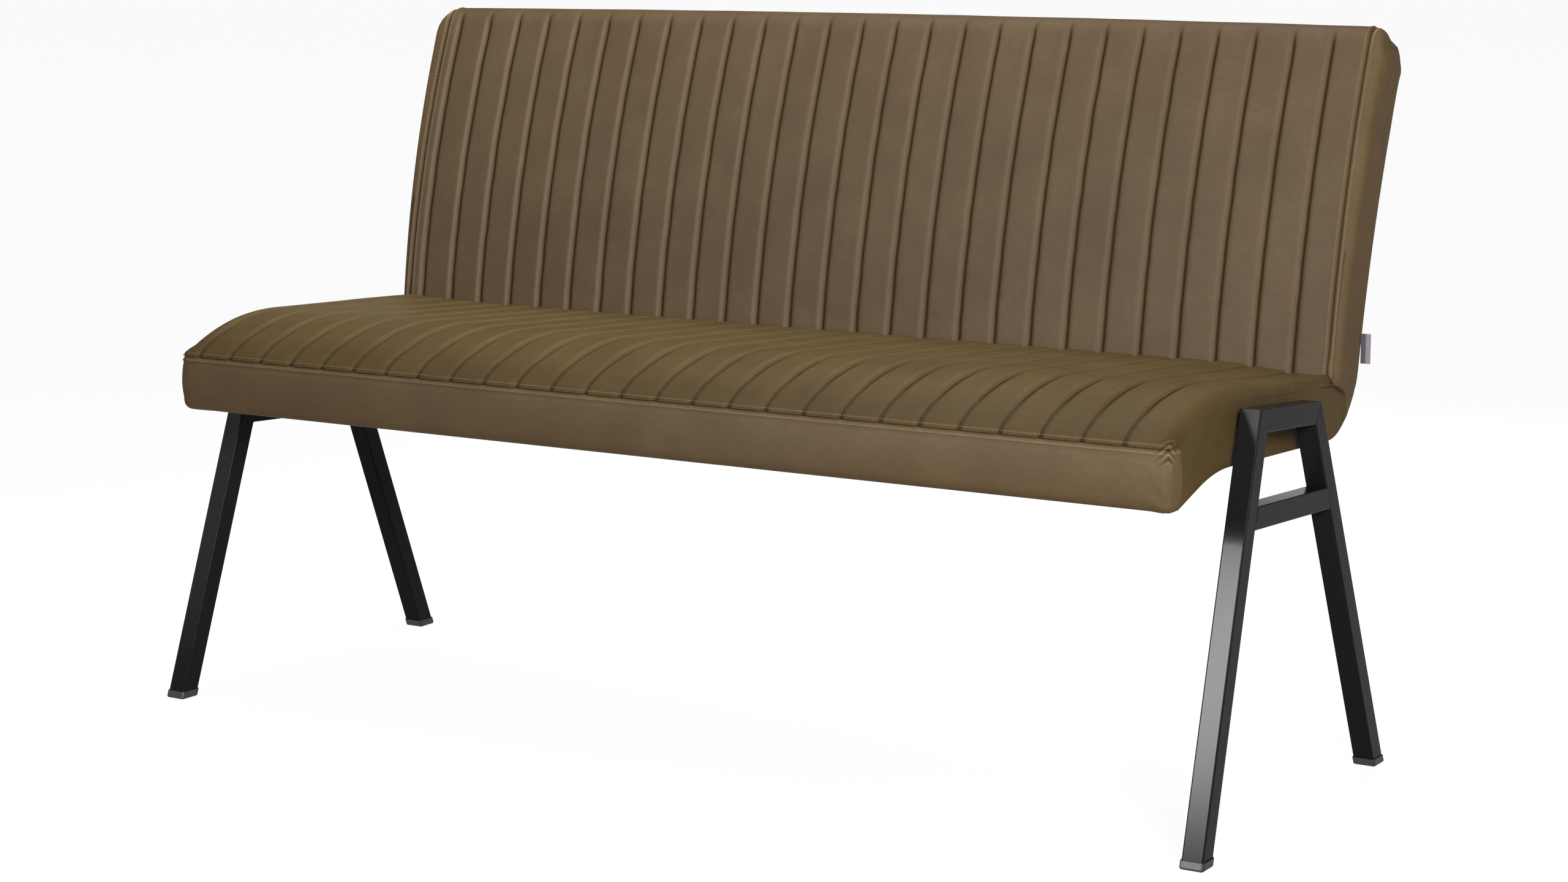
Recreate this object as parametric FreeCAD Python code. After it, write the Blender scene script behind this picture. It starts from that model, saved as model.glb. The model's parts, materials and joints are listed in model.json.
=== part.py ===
import FreeCAD, Part
import math
import os

# An upholstered dining bench: an L-shaped channelled seat and back between two welded steel end frames.
# While the pieces are made, x = 0 is the middle, y = 0 the front of the steel top bars and z = 0 the floor.
# +X runs along the bench, +Y to the back and +Z up. The last step moves the origin to the bottom centre.

V = FreeCAD.Vector

# Steel end frames
tube = 27.0
tube_wall = 1.5
tube_round = 2.0
tube_fit = 0.1
frame_width = 1504.0
bar_length = 181.4
bar_height = 498.0
bar_pitch = 4.4
front_rake = 18.6
rear_rake = 22.8
leg_splay = 1.55
brace_drop = 135.0
brace_pitch = 2.8

# Foot caps
cap_wall = 1.5
cap_height = 10.0
cap_sole = 4.0
cap_round = 2.5

# Room between each steel frame and the seat's end, and the padding outside each end former
end_gap = 7.0
end_pad = 10.0
end_pad_round = 4.0
border_out = 10.0
border_round = 9.0
soft_gap = 0.3
loft_gap = 0.8

# Seat outside: the crease is the line where the seat meets the back
crease_y = 304.0
crease_rise = 5.0
seat_pitch = 3.2
crest_y = 10.0
roll_radius = 350.0
nose_y = -171.0
nose_lip = 8.0
nose_band = 73.0
nose_round = 14.0
nose_corner = 12.0
nose_slope = 17.0
nose_set = 3.0
under_drop = 70.0
under_pitch = 2.35
under_radius = 260.0

# Back outside
back_rise = 411.0
back_thickness = 72.0
back_radius = 1575.0
back_lean = 7.5
back_top_round = 28.0
back_corner = 30.0
top_border = 34.0
heel_radius = 78.0
heel_slope = 22.0
heel_seam_run = 45.0
heel_seam_round = 28.0

# Sewn channels and the crowns of the cushions
channel_pitch = 51.8
channel_rise = 3.5
first_channel = 22.0
last_channel = 30.0
end_crown = 5.0
back_crown = 4.0
crown_power = 4
nose_fade = 0.15
top_fade = 0.5
end_step = 1.0
end_edge = 2.0
end_arc_run = 0.35
end_arc_rise = 0.75
roll_stations = 6
back_stations = 10

# Padding and sheet thicknesses
rail_cover = 18.0
back_foam = 32.0
rear_pad = 10.0
nose_pad = 24.7
dust_sheet = 1.0
cushion_tuck = 25.0

# Timber
former_thickness = 18.0
former_corner = 20.0
mid_former_drop = 22.0
rail_thickness = 25.0
top_rail_height = 30.0
back_board = 4.0
board_tuck = 8.0
rear_rail_set = 5.0

# Webbing
web_front_set = 4.0
web_rear_drop = 21.0
strap_pitch = 125.0
strap_width = 60.0
strap_thickness = 2.0
strap_end_room = 12.0

# Fastenings
bolt_d = 8.0
bolt_head_across = 13.0
bolt_head = 5.3
bolt_clearance = 0.3
bolt_set = 45.0
washer_d = 22.0
washer_thickness = 1.6
spacer_d = 18.0
rivet_flange_d = 15.0
rivet_flange = 1.0
rivet_body_d = 11.0
rivet_length = 14.0
screw_d = 5.0
screw_length = 50.0
screw_head_d = 9.0
screw_head = 2.5
screw_edge = 16.0
hole_fit = 0.1

# Tab in the rear seam
tab_height = 37.0
tab_length = 12.5
tab_thickness = 1.2
tab_set = 7.0
tab_rise = 3.0

# Widths and heights that the sizes above give
bar_x = frame_width / 2
bar_inner = bar_x - tube
seat_half = bar_inner - end_gap
former_half = seat_half - end_pad
back_half = seat_half + border_out
former_in = former_half - former_thickness
panel_half = former_half - soft_gap
pad_inner = former_half + soft_gap
crease_height = bar_height + crease_rise
back_height = crease_height + back_rise
under_height = crease_height - under_drop
huge = 4 * frame_width


# Plane geometry, in (y, z) pairs
def rad(angle):
    return math.radians(angle)


def unit(vector):
    return vector / vector.Length


def along(point, direction, distance):
    return (point[0] + direction[0] * distance, point[1] + direction[1] * distance)


def meet(p, u, q, v):
    across = u[0] * v[1] - u[1] * v[0]
    step = ((q[0] - p[0]) * v[1] - (q[1] - p[1]) * v[0]) / across
    return along(p, u, step)


def height_at(p, u, y):
    return p[1] + (y - p[0]) * u[1] / u[0]


def rounded_face(corners, place):
    """A flat face from (a, b, radius) corners; place turns (a, b) into a point, a radius rounds its corner."""
    spans = []
    for i, (a, b, radius) in enumerate(corners):
        here = place(a, b)
        if radius == 0:
            spans.append((here, None, here))
            continue
        before = unit(place(*corners[i - 1][:2]) - here)
        after = unit(place(*corners[(i + 1) % len(corners)][:2]) - here)
        half = before.getAngle(after) / 2
        reach = radius / math.tan(half)
        middle = here + unit(before + after) * (radius / math.sin(half) - radius)
        spans.append((here + before * reach, middle, here + after * reach))
    edges = []
    for i, (start, middle, end) in enumerate(spans):
        if middle is not None:
            edges.append(Part.Arc(start, middle, end).toShape())
        following = spans[(i + 1) % len(spans)][0]
        if (following - end).Length > 1e-6:
            edges.append(Part.makeLine(end, following))
    return Part.Face(Part.Wire(edges))


def side_face(corners):
    return rounded_face(corners, lambda y, z: V(0, y, z))


def plan_face(corners):
    return rounded_face(corners, lambda x, y: V(x, y, 0))


def slab(face, x_from, x_to):
    placed = face.copy()
    placed.translate(V(x_from, 0, 0))
    return placed.extrude(V(x_to - x_from, 0, 0))


def rod(x_from, x_to, y, z, diameter):
    return Part.makeCylinder(diameter / 2, x_to - x_from, V(x_from, y, z), V(1, 0, 0))


def half_space(point, normal):
    """A very large box that fills the side of a plane that its normal points to."""
    box = Part.makeBox(huge, huge, huge, V(-huge / 2, -huge / 2, 0))
    box.Placement = FreeCAD.Placement(point, FreeCAD.Rotation(V(0, 0, 1), normal))
    return box


def mirrored(shape):
    return shape.mirror(V(0, 0, 0), V(1, 0, 0))


# The seat's top: a straight pitch that rolls over to the nose in one arc
crest_height = crease_height + (crease_y - crest_y) * math.tan(rad(seat_pitch))
roll_y = crest_y - roll_radius * math.sin(rad(seat_pitch))
roll_z = crest_height - roll_radius * math.cos(rad(seat_pitch))
pitch_way = (1.0, -math.tan(rad(seat_pitch)))


def seat_point(angle, depth):
    reach = roll_radius - depth
    return (roll_y - reach * math.sin(rad(angle)), roll_z + reach * math.cos(rad(angle)))


def seat_angle(y, depth):
    return math.degrees(math.asin((roll_y - y) / (roll_radius - depth)))


def seat_top(y):
    if y >= crest_y:
        return height_at((crest_y, crest_height), pitch_way, y)
    return seat_point(seat_angle(y, 0), 0)[1]


nose_seam_height = seat_top(nose_y + nose_set) - nose_lip
nose_bottom = nose_seam_height - nose_band


def seat_knee(depth, angle):
    middle = (angle - seat_pitch) / 2
    reach = (roll_radius - depth) / math.cos(rad((angle + seat_pitch) / 2))
    return (roll_y - reach * math.sin(rad(middle)), roll_z + reach * math.cos(rad(middle)))


# The back: concentric arcs that lean more towards the top, straight below the crease
arc_y = crease_y + back_radius * math.cos(rad(back_lean))
arc_z = crease_height - back_radius * math.sin(rad(back_lean))
lean_way = (math.sin(rad(back_lean)), math.cos(rad(back_lean)))


def back_point(angle, depth):
    reach = back_radius - depth
    return (arc_y - reach * math.cos(rad(angle)), arc_z + reach * math.sin(rad(angle)))


def back_angle(z, depth):
    return math.degrees(math.asin((z - arc_z) / (back_radius - depth)))


def back_knee(depth, angle):
    middle = (angle + back_lean) / 2
    reach = (back_radius - depth) / math.cos(rad((angle - back_lean) / 2))
    return (arc_y - reach * math.cos(rad(middle)), arc_z + reach * math.sin(rad(middle)))


def back_line(depth):
    return back_point(back_lean, depth)


def corner_lift(angle):
    """How far the back's highest point stands above the end of its arc."""
    rise = math.cos(rad(angle))
    return top_border * rise - back_top_round * (rise + math.sin(rad(angle)) - 1)


frame_top_angle = back_lean
for step in range(12):
    frame_top_angle = back_angle(back_height - corner_lift(frame_top_angle), 0)
top_way = (math.sin(rad(frame_top_angle)), math.cos(rad(frame_top_angle)))


def back_end(depth, run):
    """A point on the straight run above the end of the back's arc."""
    return along(back_point(frame_top_angle, depth), top_way, run)


# The underside: a line that falls to the heel, and the slope down to the nose
under_way = (1.0, -math.tan(rad(under_pitch)))
nose_way = (math.cos(rad(nose_slope)), math.sin(rad(nose_slope)))
nose_foot = (nose_y + nose_round, nose_bottom)


def under_line(inset):
    return (0.0, under_height + inset / math.cos(rad(under_pitch)))


def nose_line(inset):
    return (nose_foot[0], nose_foot[1] + inset / math.cos(rad(nose_slope)))


def under_knee(inset):
    return meet(nose_line(inset), nose_way, under_line(inset), under_way)


# Shared planes of the timber frame
frame_front = nose_y + nose_pad
frame_under = dust_sheet + soft_gap
board_front = back_foam + soft_gap
former_front = board_front + back_board
former_rear = back_thickness - rear_pad - soft_gap
rear_rail_y = crease_y - rear_rail_set - rail_thickness
rear_rail_end = rear_rail_y + rail_thickness
front_rail_end = frame_front + rail_thickness
rail_angle = frame_top_angle - math.degrees(top_rail_height / back_radius)
web_front = (frame_front, nose_seam_height - web_front_set)
web_rear = (rear_rail_end, crease_height - web_rear_drop)
web_way = (web_rear[0] - web_front[0], web_rear[1] - web_front[1])
mid_former_x = former_half / 3


def web_height(y):
    return height_at(web_front, web_way, y)


def nose_height(y, inset):
    return height_at(nose_line(inset), nose_way, y)


def floor_height(y, inset):
    return height_at(under_line(inset), under_way, y)


def heel(depth, inset):
    return meet(back_line(depth), lean_way, under_line(inset), under_way)


# Steel end frames: the right one is made, the left one is its mirror image
bar_way = V(0, math.cos(rad(bar_pitch)), -math.sin(rad(bar_pitch)))
bar_front = V(bar_x, 0, bar_height)
bar_rear = bar_front + bar_way * (bar_length / math.cos(rad(bar_pitch)))
splay = math.tan(rad(leg_splay))
leg_run = bar_height / math.cos(rad(max(front_rake, rear_rake))) + 2 * tube
rearward = V(0, 1, 0)
forward = V(0, -1, 0)
upward = V(0, 0, 1)
downward = V(0, 0, -1)


def section_axes(way, inward):
    """The two directions of a square section: towards the bench's middle, and inward."""
    side = V(-1, 0, 0)
    side = unit(side - way * side.dot(way))
    deep = way.cross(side)
    return (side, deep) if deep.dot(inward) > 0 else (side, deep * -1)


def square_bar(edge, way, inward, inset, length):
    """A bar along way with the tube's section, smaller by inset on each side and rounded to match."""
    side, deep = section_axes(way, inward)
    near = inset
    far = tube - inset
    corners = [(a, b, tube_round - inset) for a, b in ((near, near), (far, near), (far, far), (near, far))]
    return rounded_face(corners, lambda a, b: edge + side * a + deep * b).extrude(way * length)


def square_tube(edge, way, inward, length):
    outside = square_bar(edge, way, inward, 0, length)
    bore = square_bar(edge - way, way, inward, tube_wall, length + 2)
    return outside.cut(bore)


def leg_way(slope):
    return unit(V(splay, slope, -1))


def mitre(bar_out, leg):
    """The normal, towards the bar, of the plane that halves the corner between the bar and a leg."""
    return unit(bar_out - unit(V(0, leg.y, leg.z)))


front_way = leg_way(-math.tan(rad(front_rake)))
rear_way = leg_way(math.tan(rad(rear_rake)))
front_mitre = mitre(bar_way, front_way)
rear_mitre = mitre(bar_way * -1, rear_way)


def leg(corner, way, inward, normal):
    whole = square_tube(corner - way * tube, way, inward, leg_run + tube)
    trimmed = whole.common(half_space(corner, normal * -1))
    return trimmed.common(half_space(upward * cap_sole, upward))


def foot_cap(corner, way, inward):
    """A plastic shoe: a sole under the leg's end and a low collar round it."""
    outside = square_bar(corner, way, inward, -cap_wall, leg_run)
    inside = square_bar(corner, way, inward, -tube_fit, leg_run)
    shoe = outside.common(half_space(V(0, 0, 0), upward)).common(half_space(upward * cap_height, downward))
    sole_edges = [edge for edge in shoe.Edges if edge.BoundBox.ZMax < tube_fit]
    shoe = shoe.makeFillet(cap_round, sole_edges)
    return shoe.cut(inside.common(half_space(upward * cap_sole, upward)))


def top_bar():
    whole = square_tube(bar_front - bar_way * tube, bar_way, downward, bar_length + 3 * tube)
    bar = whole.common(half_space(bar_front, front_mitre)).common(half_space(bar_rear, rear_mitre))
    for y, z in bolt_places():
        bar = bar.cut(rod(bar_inner - 1, bar_inner + tube / 2, y, z, rivet_body_d + 2 * hole_fit))
    return bar


def brace():
    way = V(0, math.cos(rad(brace_pitch)), -math.sin(rad(brace_pitch)))
    from_front = section_axes(front_way, rearward)[1]
    from_rear = section_axes(rear_way, forward)[1]
    outward = splay * (brace_drop - tube / 2)
    start = bar_front + V(outward, -math.tan(rad(front_rake)) * brace_drop, -brace_drop)
    whole = square_tube(start, way, upward, bar_length + bar_height)
    trimmed = whole.common(half_space(bar_front + from_front * tube, from_front))
    return trimmed.common(half_space(bar_rear + from_rear * tube, from_rear))


# Fastenings of an end frame: bolts from inside the end former into rivet nuts in the bar
rivet_face = bar_inner - rivet_flange
washer_face = former_in - washer_thickness
head_face = washer_face - bolt_head


def bolt_places():
    places = []
    for y in (bolt_set, bar_length - bolt_set):
        places.append((y, bar_height - y * math.tan(rad(bar_pitch)) - tube / 2 / math.cos(rad(bar_pitch))))
    return places


def bolt_hole(y, z, room):
    return rod(0, bar_x, y, z, bolt_d + 2 * room)


def rivet_nut(y, z):
    body = rod(bar_inner, bar_inner + rivet_length, y, z, rivet_body_d)
    flange = rod(rivet_face, bar_inner, y, z, rivet_flange_d)
    return body.fuse(flange).cut(bolt_hole(y, z, hole_fit))


def spacer(y, z):
    return rod(former_half, rivet_face, y, z, spacer_d).cut(bolt_hole(y, z, bolt_clearance))


def washer(y, z):
    return rod(washer_face, former_in, y, z, washer_d).cut(bolt_hole(y, z, bolt_clearance))


def bolt(y, z):
    reach = bolt_head_across / 2 / math.cos(rad(30))
    turns = [rad(60 * i) for i in range(7)]
    ring = [V(head_face, y + reach * math.cos(turn), z + reach * math.sin(turn)) for turn in turns]
    head = Part.Face(Part.makePolygon(ring)).extrude(V(bolt_head, 0, 0))
    shank = rod(washer_face, bar_inner + rivet_length - tube_wall, y, z, bolt_d)
    return head.fuse(shank)


# Wood screws through the end formers into the rails
def screw_places():
    front_y = frame_front + rail_thickness / 2
    rear_y = rear_rail_y + rail_thickness / 2
    front_low = nose_height(front_y, frame_under) + screw_edge
    front_high = web_height(front_y) - screw_edge
    rear_z = (floor_height(rear_y, frame_under) + web_height(rear_y)) / 2
    top = back_point((frame_top_angle + rail_angle) / 2, (former_front + former_rear) / 2)
    return [(front_y, front_low), (front_y, front_high), (rear_y, rear_z), top]


def screw(y, z, room):
    neck = former_half - screw_head - room
    shank = rod(former_half - screw_length - room, neck, y, z, screw_d + 2 * room)
    return shank.fuse(rod(neck, former_half + room, y, z, screw_head_d + 2 * room))


def drilled(shape, places, cutter):
    for y, z in places:
        shape = shape.cut(cutter(y, z))
        shape = shape.cut(mirrored(cutter(y, z)))
    return shape


# Timber frame
def former_back(angle):
    """The corners of a former from the nose's underside round the heel to the back's inner corner."""
    return [
        (*under_knee(frame_under), under_radius + frame_under),
        (*heel(former_rear, frame_under), heel_radius - rear_pad),
        (*back_knee(former_rear, angle), back_radius - former_rear),
        (*back_point(angle, former_rear), 0),
        (*back_point(angle, former_front), 0),
        (*back_knee(former_front, angle), back_radius - former_front),
    ]


seat_rail_start = (crest_y, crest_height - rail_cover / math.cos(rad(seat_pitch)))


def end_former():
    front_angle = seat_angle(frame_front, rail_cover)
    corners = [(frame_front, nose_height(frame_front, frame_under), 0)] + former_back(frame_top_angle)
    corners += [
        (*meet(back_line(former_front), lean_way, seat_rail_start, pitch_way), former_corner),
        (*seat_knee(rail_cover, front_angle), roll_radius - rail_cover),
        (*seat_point(front_angle, rail_cover), 0),
    ]
    former = slab(side_face(corners), former_in, former_half)
    former = drilled(former, bolt_places(), lambda y, z: bolt_hole(y, z, bolt_clearance))
    return drilled(former, screw_places(), lambda y, z: screw(y, z, hole_fit))


def mid_former(x):
    top_front = (front_rail_end, web_height(front_rail_end) - mid_former_drop)
    corners = [(front_rail_end, nose_height(front_rail_end, frame_under), 0)] + former_back(rail_angle)
    corners += [
        (*meet(back_line(former_front), lean_way, top_front, web_way), former_corner),
        (*top_front, 0),
    ]
    return slab(side_face(corners), x - former_thickness / 2, x + former_thickness / 2)


def front_rail():
    corners = [
        (frame_front, nose_height(frame_front, frame_under), 0),
        (front_rail_end, nose_height(front_rail_end, frame_under), 0),
        (front_rail_end, web_height(front_rail_end), 0),
        (frame_front, web_height(frame_front), 0),
    ]
    rail = slab(side_face(corners), -former_in, former_in)
    return drilled(rail, screw_places(), lambda y, z: screw(y, z, hole_fit))


def rear_blocking():
    corners = [
        (rear_rail_y, floor_height(rear_rail_y, frame_under), 0),
        (rear_rail_end, floor_height(rear_rail_end, frame_under), 0),
        (rear_rail_end, web_height(rear_rail_end), 0),
        (rear_rail_y, web_height(rear_rail_y), 0),
    ]
    face = side_face(corners)
    inner = mid_former_x - former_thickness / 2
    outer = mid_former_x + former_thickness / 2
    right = drilled(slab(face, outer, former_in), screw_places(), lambda y, z: screw(y, z, hole_fit))
    return [mirrored(right), slab(face, -inner, inner), right]


def back_sector(depth_from, depth_to, angle_from, angle_to, half):
    """A curved board of the back between two depths and two angles."""
    middle = (angle_from + angle_to) / 2
    ends = [(angle_from, depth_from), (angle_from, depth_to), (angle_to, depth_to), (angle_to, depth_from)]
    points = [V(0, *back_point(*end)) for end in ends]
    edges = [
        Part.makeLine(points[0], points[1]),
        Part.Arc(points[1], V(0, *back_point(middle, depth_to)), points[2]).toShape(),
        Part.makeLine(points[2], points[3]),
        Part.Arc(points[3], V(0, *back_point(middle, depth_from)), points[0]).toShape(),
    ]
    return slab(Part.Face(Part.Wire(edges)), -half, half)


def top_rail():
    rail = back_sector(former_front, former_rear, rail_angle, frame_top_angle, former_in)
    return drilled(rail, screw_places(), lambda y, z: screw(y, z, hole_fit))


def board():
    low_angle = back_angle(crease_height - board_tuck, board_front)
    return back_sector(board_front, former_front, low_angle, frame_top_angle, panel_half)


def strap(x):
    corners = [
        (frame_front, web_height(frame_front), 0),
        (rear_rail_end, web_height(rear_rail_end), 0),
        (rear_rail_end, web_height(rear_rail_end) + strap_thickness, 0),
        (frame_front, web_height(frame_front) + strap_thickness, 0),
    ]
    return slab(side_face(corners), x - strap_width / 2, x + strap_width / 2)


def straps():
    span = 2 * (head_face - strap_end_room) - strap_width
    count = int(span / strap_pitch) + 1
    return [strap((i - (count - 1) / 2) * strap_pitch) for i in range(count)]


# Channelled cushions: ruled lofts through sections of shallow arcs, one arc a channel
def stitch_places():
    run = 2 * panel_half - first_channel - last_channel
    count = int(run / channel_pitch) + 1
    return [-panel_half + first_channel + i * channel_pitch for i in range(count)]


stitches = stitch_places()


def seat_section(y):
    """A section across the seat cushion: channels on top, and a step over each end former below."""
    top = seat_top(y)
    low = max(web_height(y) + strap_thickness, nose_seam_height) + soft_gap
    step = max(low + end_step, top - rail_cover + loft_gap)
    block = head_face - soft_gap
    fade = 1.0 if y >= crest_y else max(nose_fade, (top - low) / (crest_height - low))

    def crown(x):
        return top - fade * end_crown * (abs(x) / seat_half) ** crown_power

    ridge = [V(x, y, crown(x) - fade * channel_rise) for x in stitches]
    ends = [V(-seat_half, y, step + end_edge), V(seat_half, y, step + end_edge)]
    edges = [end_arc(ends[0], ridge[0])]
    for a, b in zip(ridge, ridge[1:]):
        middle = (a.x + b.x) / 2
        edges.append(Part.Arc(a, V(middle, y, crown(middle)), b).toShape())
    edges.append(end_arc(ridge[-1], ends[1], True))
    outline = [(seat_half, step + end_edge), (seat_half, step), (block, step), (block, low)]
    outline += [(-x, z) for x, z in reversed(outline)]
    points = [V(x, y, z) for x, z in outline]
    edges += [Part.makeLine(a, b) for a, b in zip(points, points[1:])]
    return Part.Wire(edges)


def end_arc(a, b, falling=False):
    """An arc from a panel's edge to its first stitch, steep at the edge and flat at the stitch."""
    edge, stitch = (b, a) if falling else (a, b)
    middle = edge + (stitch - edge) * end_arc_run
    middle.z = edge.z + (stitch.z - edge.z) * end_arc_rise
    return Part.Arc(a, middle, b).toShape()


def seat_plan():
    """A column over the seat's outline from above, whose front corners are rounded."""
    corners = [
        (-seat_half, nose_y, nose_corner),
        (seat_half, nose_y, nose_corner),
        (seat_half, crease_y, 0),
        (-seat_half, crease_y, 0),
    ]
    return plan_face(corners).extrude(V(0, 0, back_height))


def seat_cushion():
    rear = crease_y - cushion_tuck * math.tan(rad(back_lean)) - soft_gap
    front = nose_y + nose_set
    roll = [crest_y + (front - crest_y) * i / roll_stations for i in range(roll_stations + 1)]
    sections = [seat_section(y) for y in [rear, (rear + crest_y) / 2] + roll]
    return Part.makeLoft(sections, True, True).common(seat_plan())


def depth_at(depth, z):
    """The y of a depth of the back at one height, on the straight run below the crease or on the arc."""
    start = back_line(depth)
    if z <= start[1]:
        return start[0] + (z - start[1]) * math.tan(rad(back_lean))
    return back_point(back_angle(z, depth), depth)[0]


def back_section(z, fade):
    """A level section through the back cushion: channels in front and a flat rear."""
    face = depth_at(0, z)

    def crown(x):
        return face + back_crown * (abs(x) / panel_half) ** crown_power

    row = [V(-panel_half, crown(panel_half) + channel_rise, z)]
    row += [V(x, crown(x) + fade * channel_rise, z) for x in stitches]
    row.append(V(panel_half, crown(panel_half) + channel_rise, z))
    edges = []
    for a, b in zip(row, row[1:]):
        middle = (a.x + b.x) / 2
        edges.append(Part.Arc(a, V(middle, crown(middle), z), b).toShape())
    rear = depth_at(back_foam, z)
    points = [row[-1], V(panel_half, rear, z), V(-panel_half, rear, z), row[0]]
    edges += [Part.makeLine(a, b) for a, b in zip(points, points[1:])]
    return Part.Wire(edges)


def back_cushion():
    low = crease_height - cushion_tuck
    high = back_point(frame_top_angle, back_foam)[1]
    levels = [low + (high - low) * i / back_stations for i in range(back_stations + 1)]
    fades = [1.0] * back_stations + [top_fade]
    return Part.makeLoft([back_section(z, fade) for z, fade in zip(levels, fades)], True, True)


# Plain padding round the frame
def nose_roll():
    rear = frame_front - soft_gap
    corners = [
        (nose_y, nose_height(nose_y, 0), nose_round),
        (rear, nose_height(rear, 0), 0),
        (rear, nose_seam_height, 0),
        (nose_y + nose_set, nose_seam_height, nose_set),
    ]
    return slab(side_face(corners), -seat_half, seat_half).common(seat_plan())


heel_start = meet(back_line(0), lean_way, seat_rail_start, pitch_way)
heel_way = (math.cos(rad(heel_slope)), -math.sin(rad(heel_slope)))
heel_seam = along(heel_start, heel_way, heel_seam_run / heel_way[0])


def whole_side(x_to):
    """The bench's side, from the nose's rear round the heel to the top of the back."""
    front_angle = seat_angle(frame_front, rail_cover)
    corners = [
        (frame_front, nose_height(frame_front, 0), 0),
        (*under_knee(0), under_radius),
        (*heel(back_thickness, 0), heel_radius),
        (*back_knee(back_thickness, frame_top_angle), back_radius - back_thickness),
        (*back_end(back_thickness, top_border), back_top_round),
        (*back_end(0, top_border), back_top_round),
        (*back_knee(0, frame_top_angle), back_radius),
        (*heel_start, 0),
        (*seat_knee(rail_cover, front_angle), roll_radius - rail_cover),
        (*seat_point(front_angle, rail_cover), 0),
    ]
    return slab(side_face(corners), pad_inner, x_to)


def seat_region(grow):
    """A column through the seat's end as far as its seam with the back's border, which turns down at the heel."""
    start = along(heel_start, (1, 1), grow)
    seam = along(heel_seam, (1, 1), grow)
    corners = [
        (nose_y, 0, 0),
        (seam[0], 0, 0),
        (*seam, heel_seam_round),
        (*start, 0),
        (start[0], back_height, 0),
        (nose_y, back_height, 0),
    ]
    return slab(side_face(corners), 0, back_half)


def rounded_side(x, radius):
    side = whole_side(x)
    return side.makeFillet(radius, [edge for edge in side.Edges if edge.BoundBox.XMin > x - tube_fit])


def back_outline():
    """A column through the back's outline from in front, whose top corners are rounded."""
    corners = [
        (-back_half, -back_rise * 2, 0),
        (back_half, -back_rise * 2, 0),
        (back_half, top_border, back_corner),
        (-back_half, top_border, back_corner),
    ]
    face = rounded_face(corners, lambda x, run: V(x, *back_end(-back_rise, run)))
    return face.extrude(V(0, top_way[1], -top_way[0]) * (back_rise * 2))


def back_border():
    border = rounded_side(back_half, border_round).cut(seat_region(soft_gap / 2))
    return border.common(back_outline())


def seat_end_pad():
    pad = rounded_side(seat_half, end_pad_round).common(seat_region(-soft_gap / 2))
    return drilled(pad, bolt_places(), lambda y, z: rod(0, bar_x, y, z, spacer_d + 2 * soft_gap))


def back_top_border():
    corners = [
        (*back_end(0, soft_gap), 0),
        (*back_end(back_thickness, soft_gap), 0),
        (*back_end(back_thickness, top_border), back_top_round),
        (*back_end(0, top_border), back_top_round),
    ]
    return slab(side_face(corners), -panel_half, panel_half)


under_end = rear_rail_y + rail_thickness / 2


def back_rear_pad():
    """The rear of the back, padded, which thins to plain cover where it turns under the heel."""
    inner = back_thickness - rear_pad
    corners = [
        (under_end, floor_height(under_end, 0), 0),
        (*heel(back_thickness, 0), heel_radius),
        (*back_knee(back_thickness, frame_top_angle), back_radius - back_thickness),
        (*back_point(frame_top_angle, back_thickness), 0),
        (*back_point(frame_top_angle, inner), 0),
        (*back_knee(inner, frame_top_angle), back_radius - inner),
        (*heel(inner, dust_sheet), heel_radius - rear_pad),
        (under_end, floor_height(under_end, dust_sheet), 0),
    ]
    return slab(side_face(corners), -panel_half, panel_half)


def dust_cover():
    end = under_end - soft_gap
    corners = [
        (frame_front, nose_height(frame_front, 0), 0),
        (*under_knee(0), under_radius),
        (end, floor_height(end, 0), 0),
        (end, floor_height(end, dust_sheet), 0),
        (*under_knee(dust_sheet), under_radius + dust_sheet),
        (frame_front, nose_height(frame_front, dust_sheet), 0),
    ]
    return slab(side_face(corners), -panel_half, panel_half)


def tab():
    y = depth_at(back_thickness, crease_height) - border_round - tab_set
    return Part.makeBox(tab_length, tab_thickness, tab_height, V(back_half, y, crease_height + tab_rise))


# All nodes
nodes = {}


def add_pair(name, shape):
    nodes[name + "_right"] = shape
    nodes[name + "_left"] = mirrored(shape)


def add_group(name, maker, places):
    solids = [maker(y, z) for y, z in places]
    nodes[name] = Part.makeCompound(solids + [mirrored(solid) for solid in solids])


add_pair("front_leg", leg(bar_front, front_way, rearward, front_mitre))
add_pair("rear_leg", leg(bar_rear, rear_way, forward, rear_mitre))
add_pair("top_bar", top_bar())
add_pair("brace", brace())
add_pair("front_foot_cap", foot_cap(bar_front, front_way, rearward))
add_pair("rear_foot_cap", foot_cap(bar_rear, rear_way, forward))
add_group("frame_bolts", bolt, bolt_places())
add_group("frame_washers", washer, bolt_places())
add_group("frame_spacers", spacer, bolt_places())
add_group("rivet_nuts", rivet_nut, bolt_places())
add_pair("end_former", end_former())
add_pair("mid_former", mid_former(mid_former_x))
nodes["front_rail"] = front_rail()
nodes["rear_blocking"] = Part.makeCompound(rear_blocking())
nodes["back_top_rail"] = top_rail()
nodes["back_board"] = board()
nodes["seat_webbing"] = Part.makeCompound(straps())
add_group("rail_screws", lambda y, z: screw(y, z, 0), screw_places())
nodes["seat_cushion"] = seat_cushion()
nodes["nose_roll"] = nose_roll()
add_pair("seat_end_pad", seat_end_pad())
nodes["back_cushion"] = back_cushion()
add_pair("back_border", back_border())
nodes["back_top_border"] = back_top_border()
nodes["back_rear_pad"] = back_rear_pad()
nodes["dust_cover"] = dust_cover()
nodes["seam_tab"] = tab()

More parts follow.
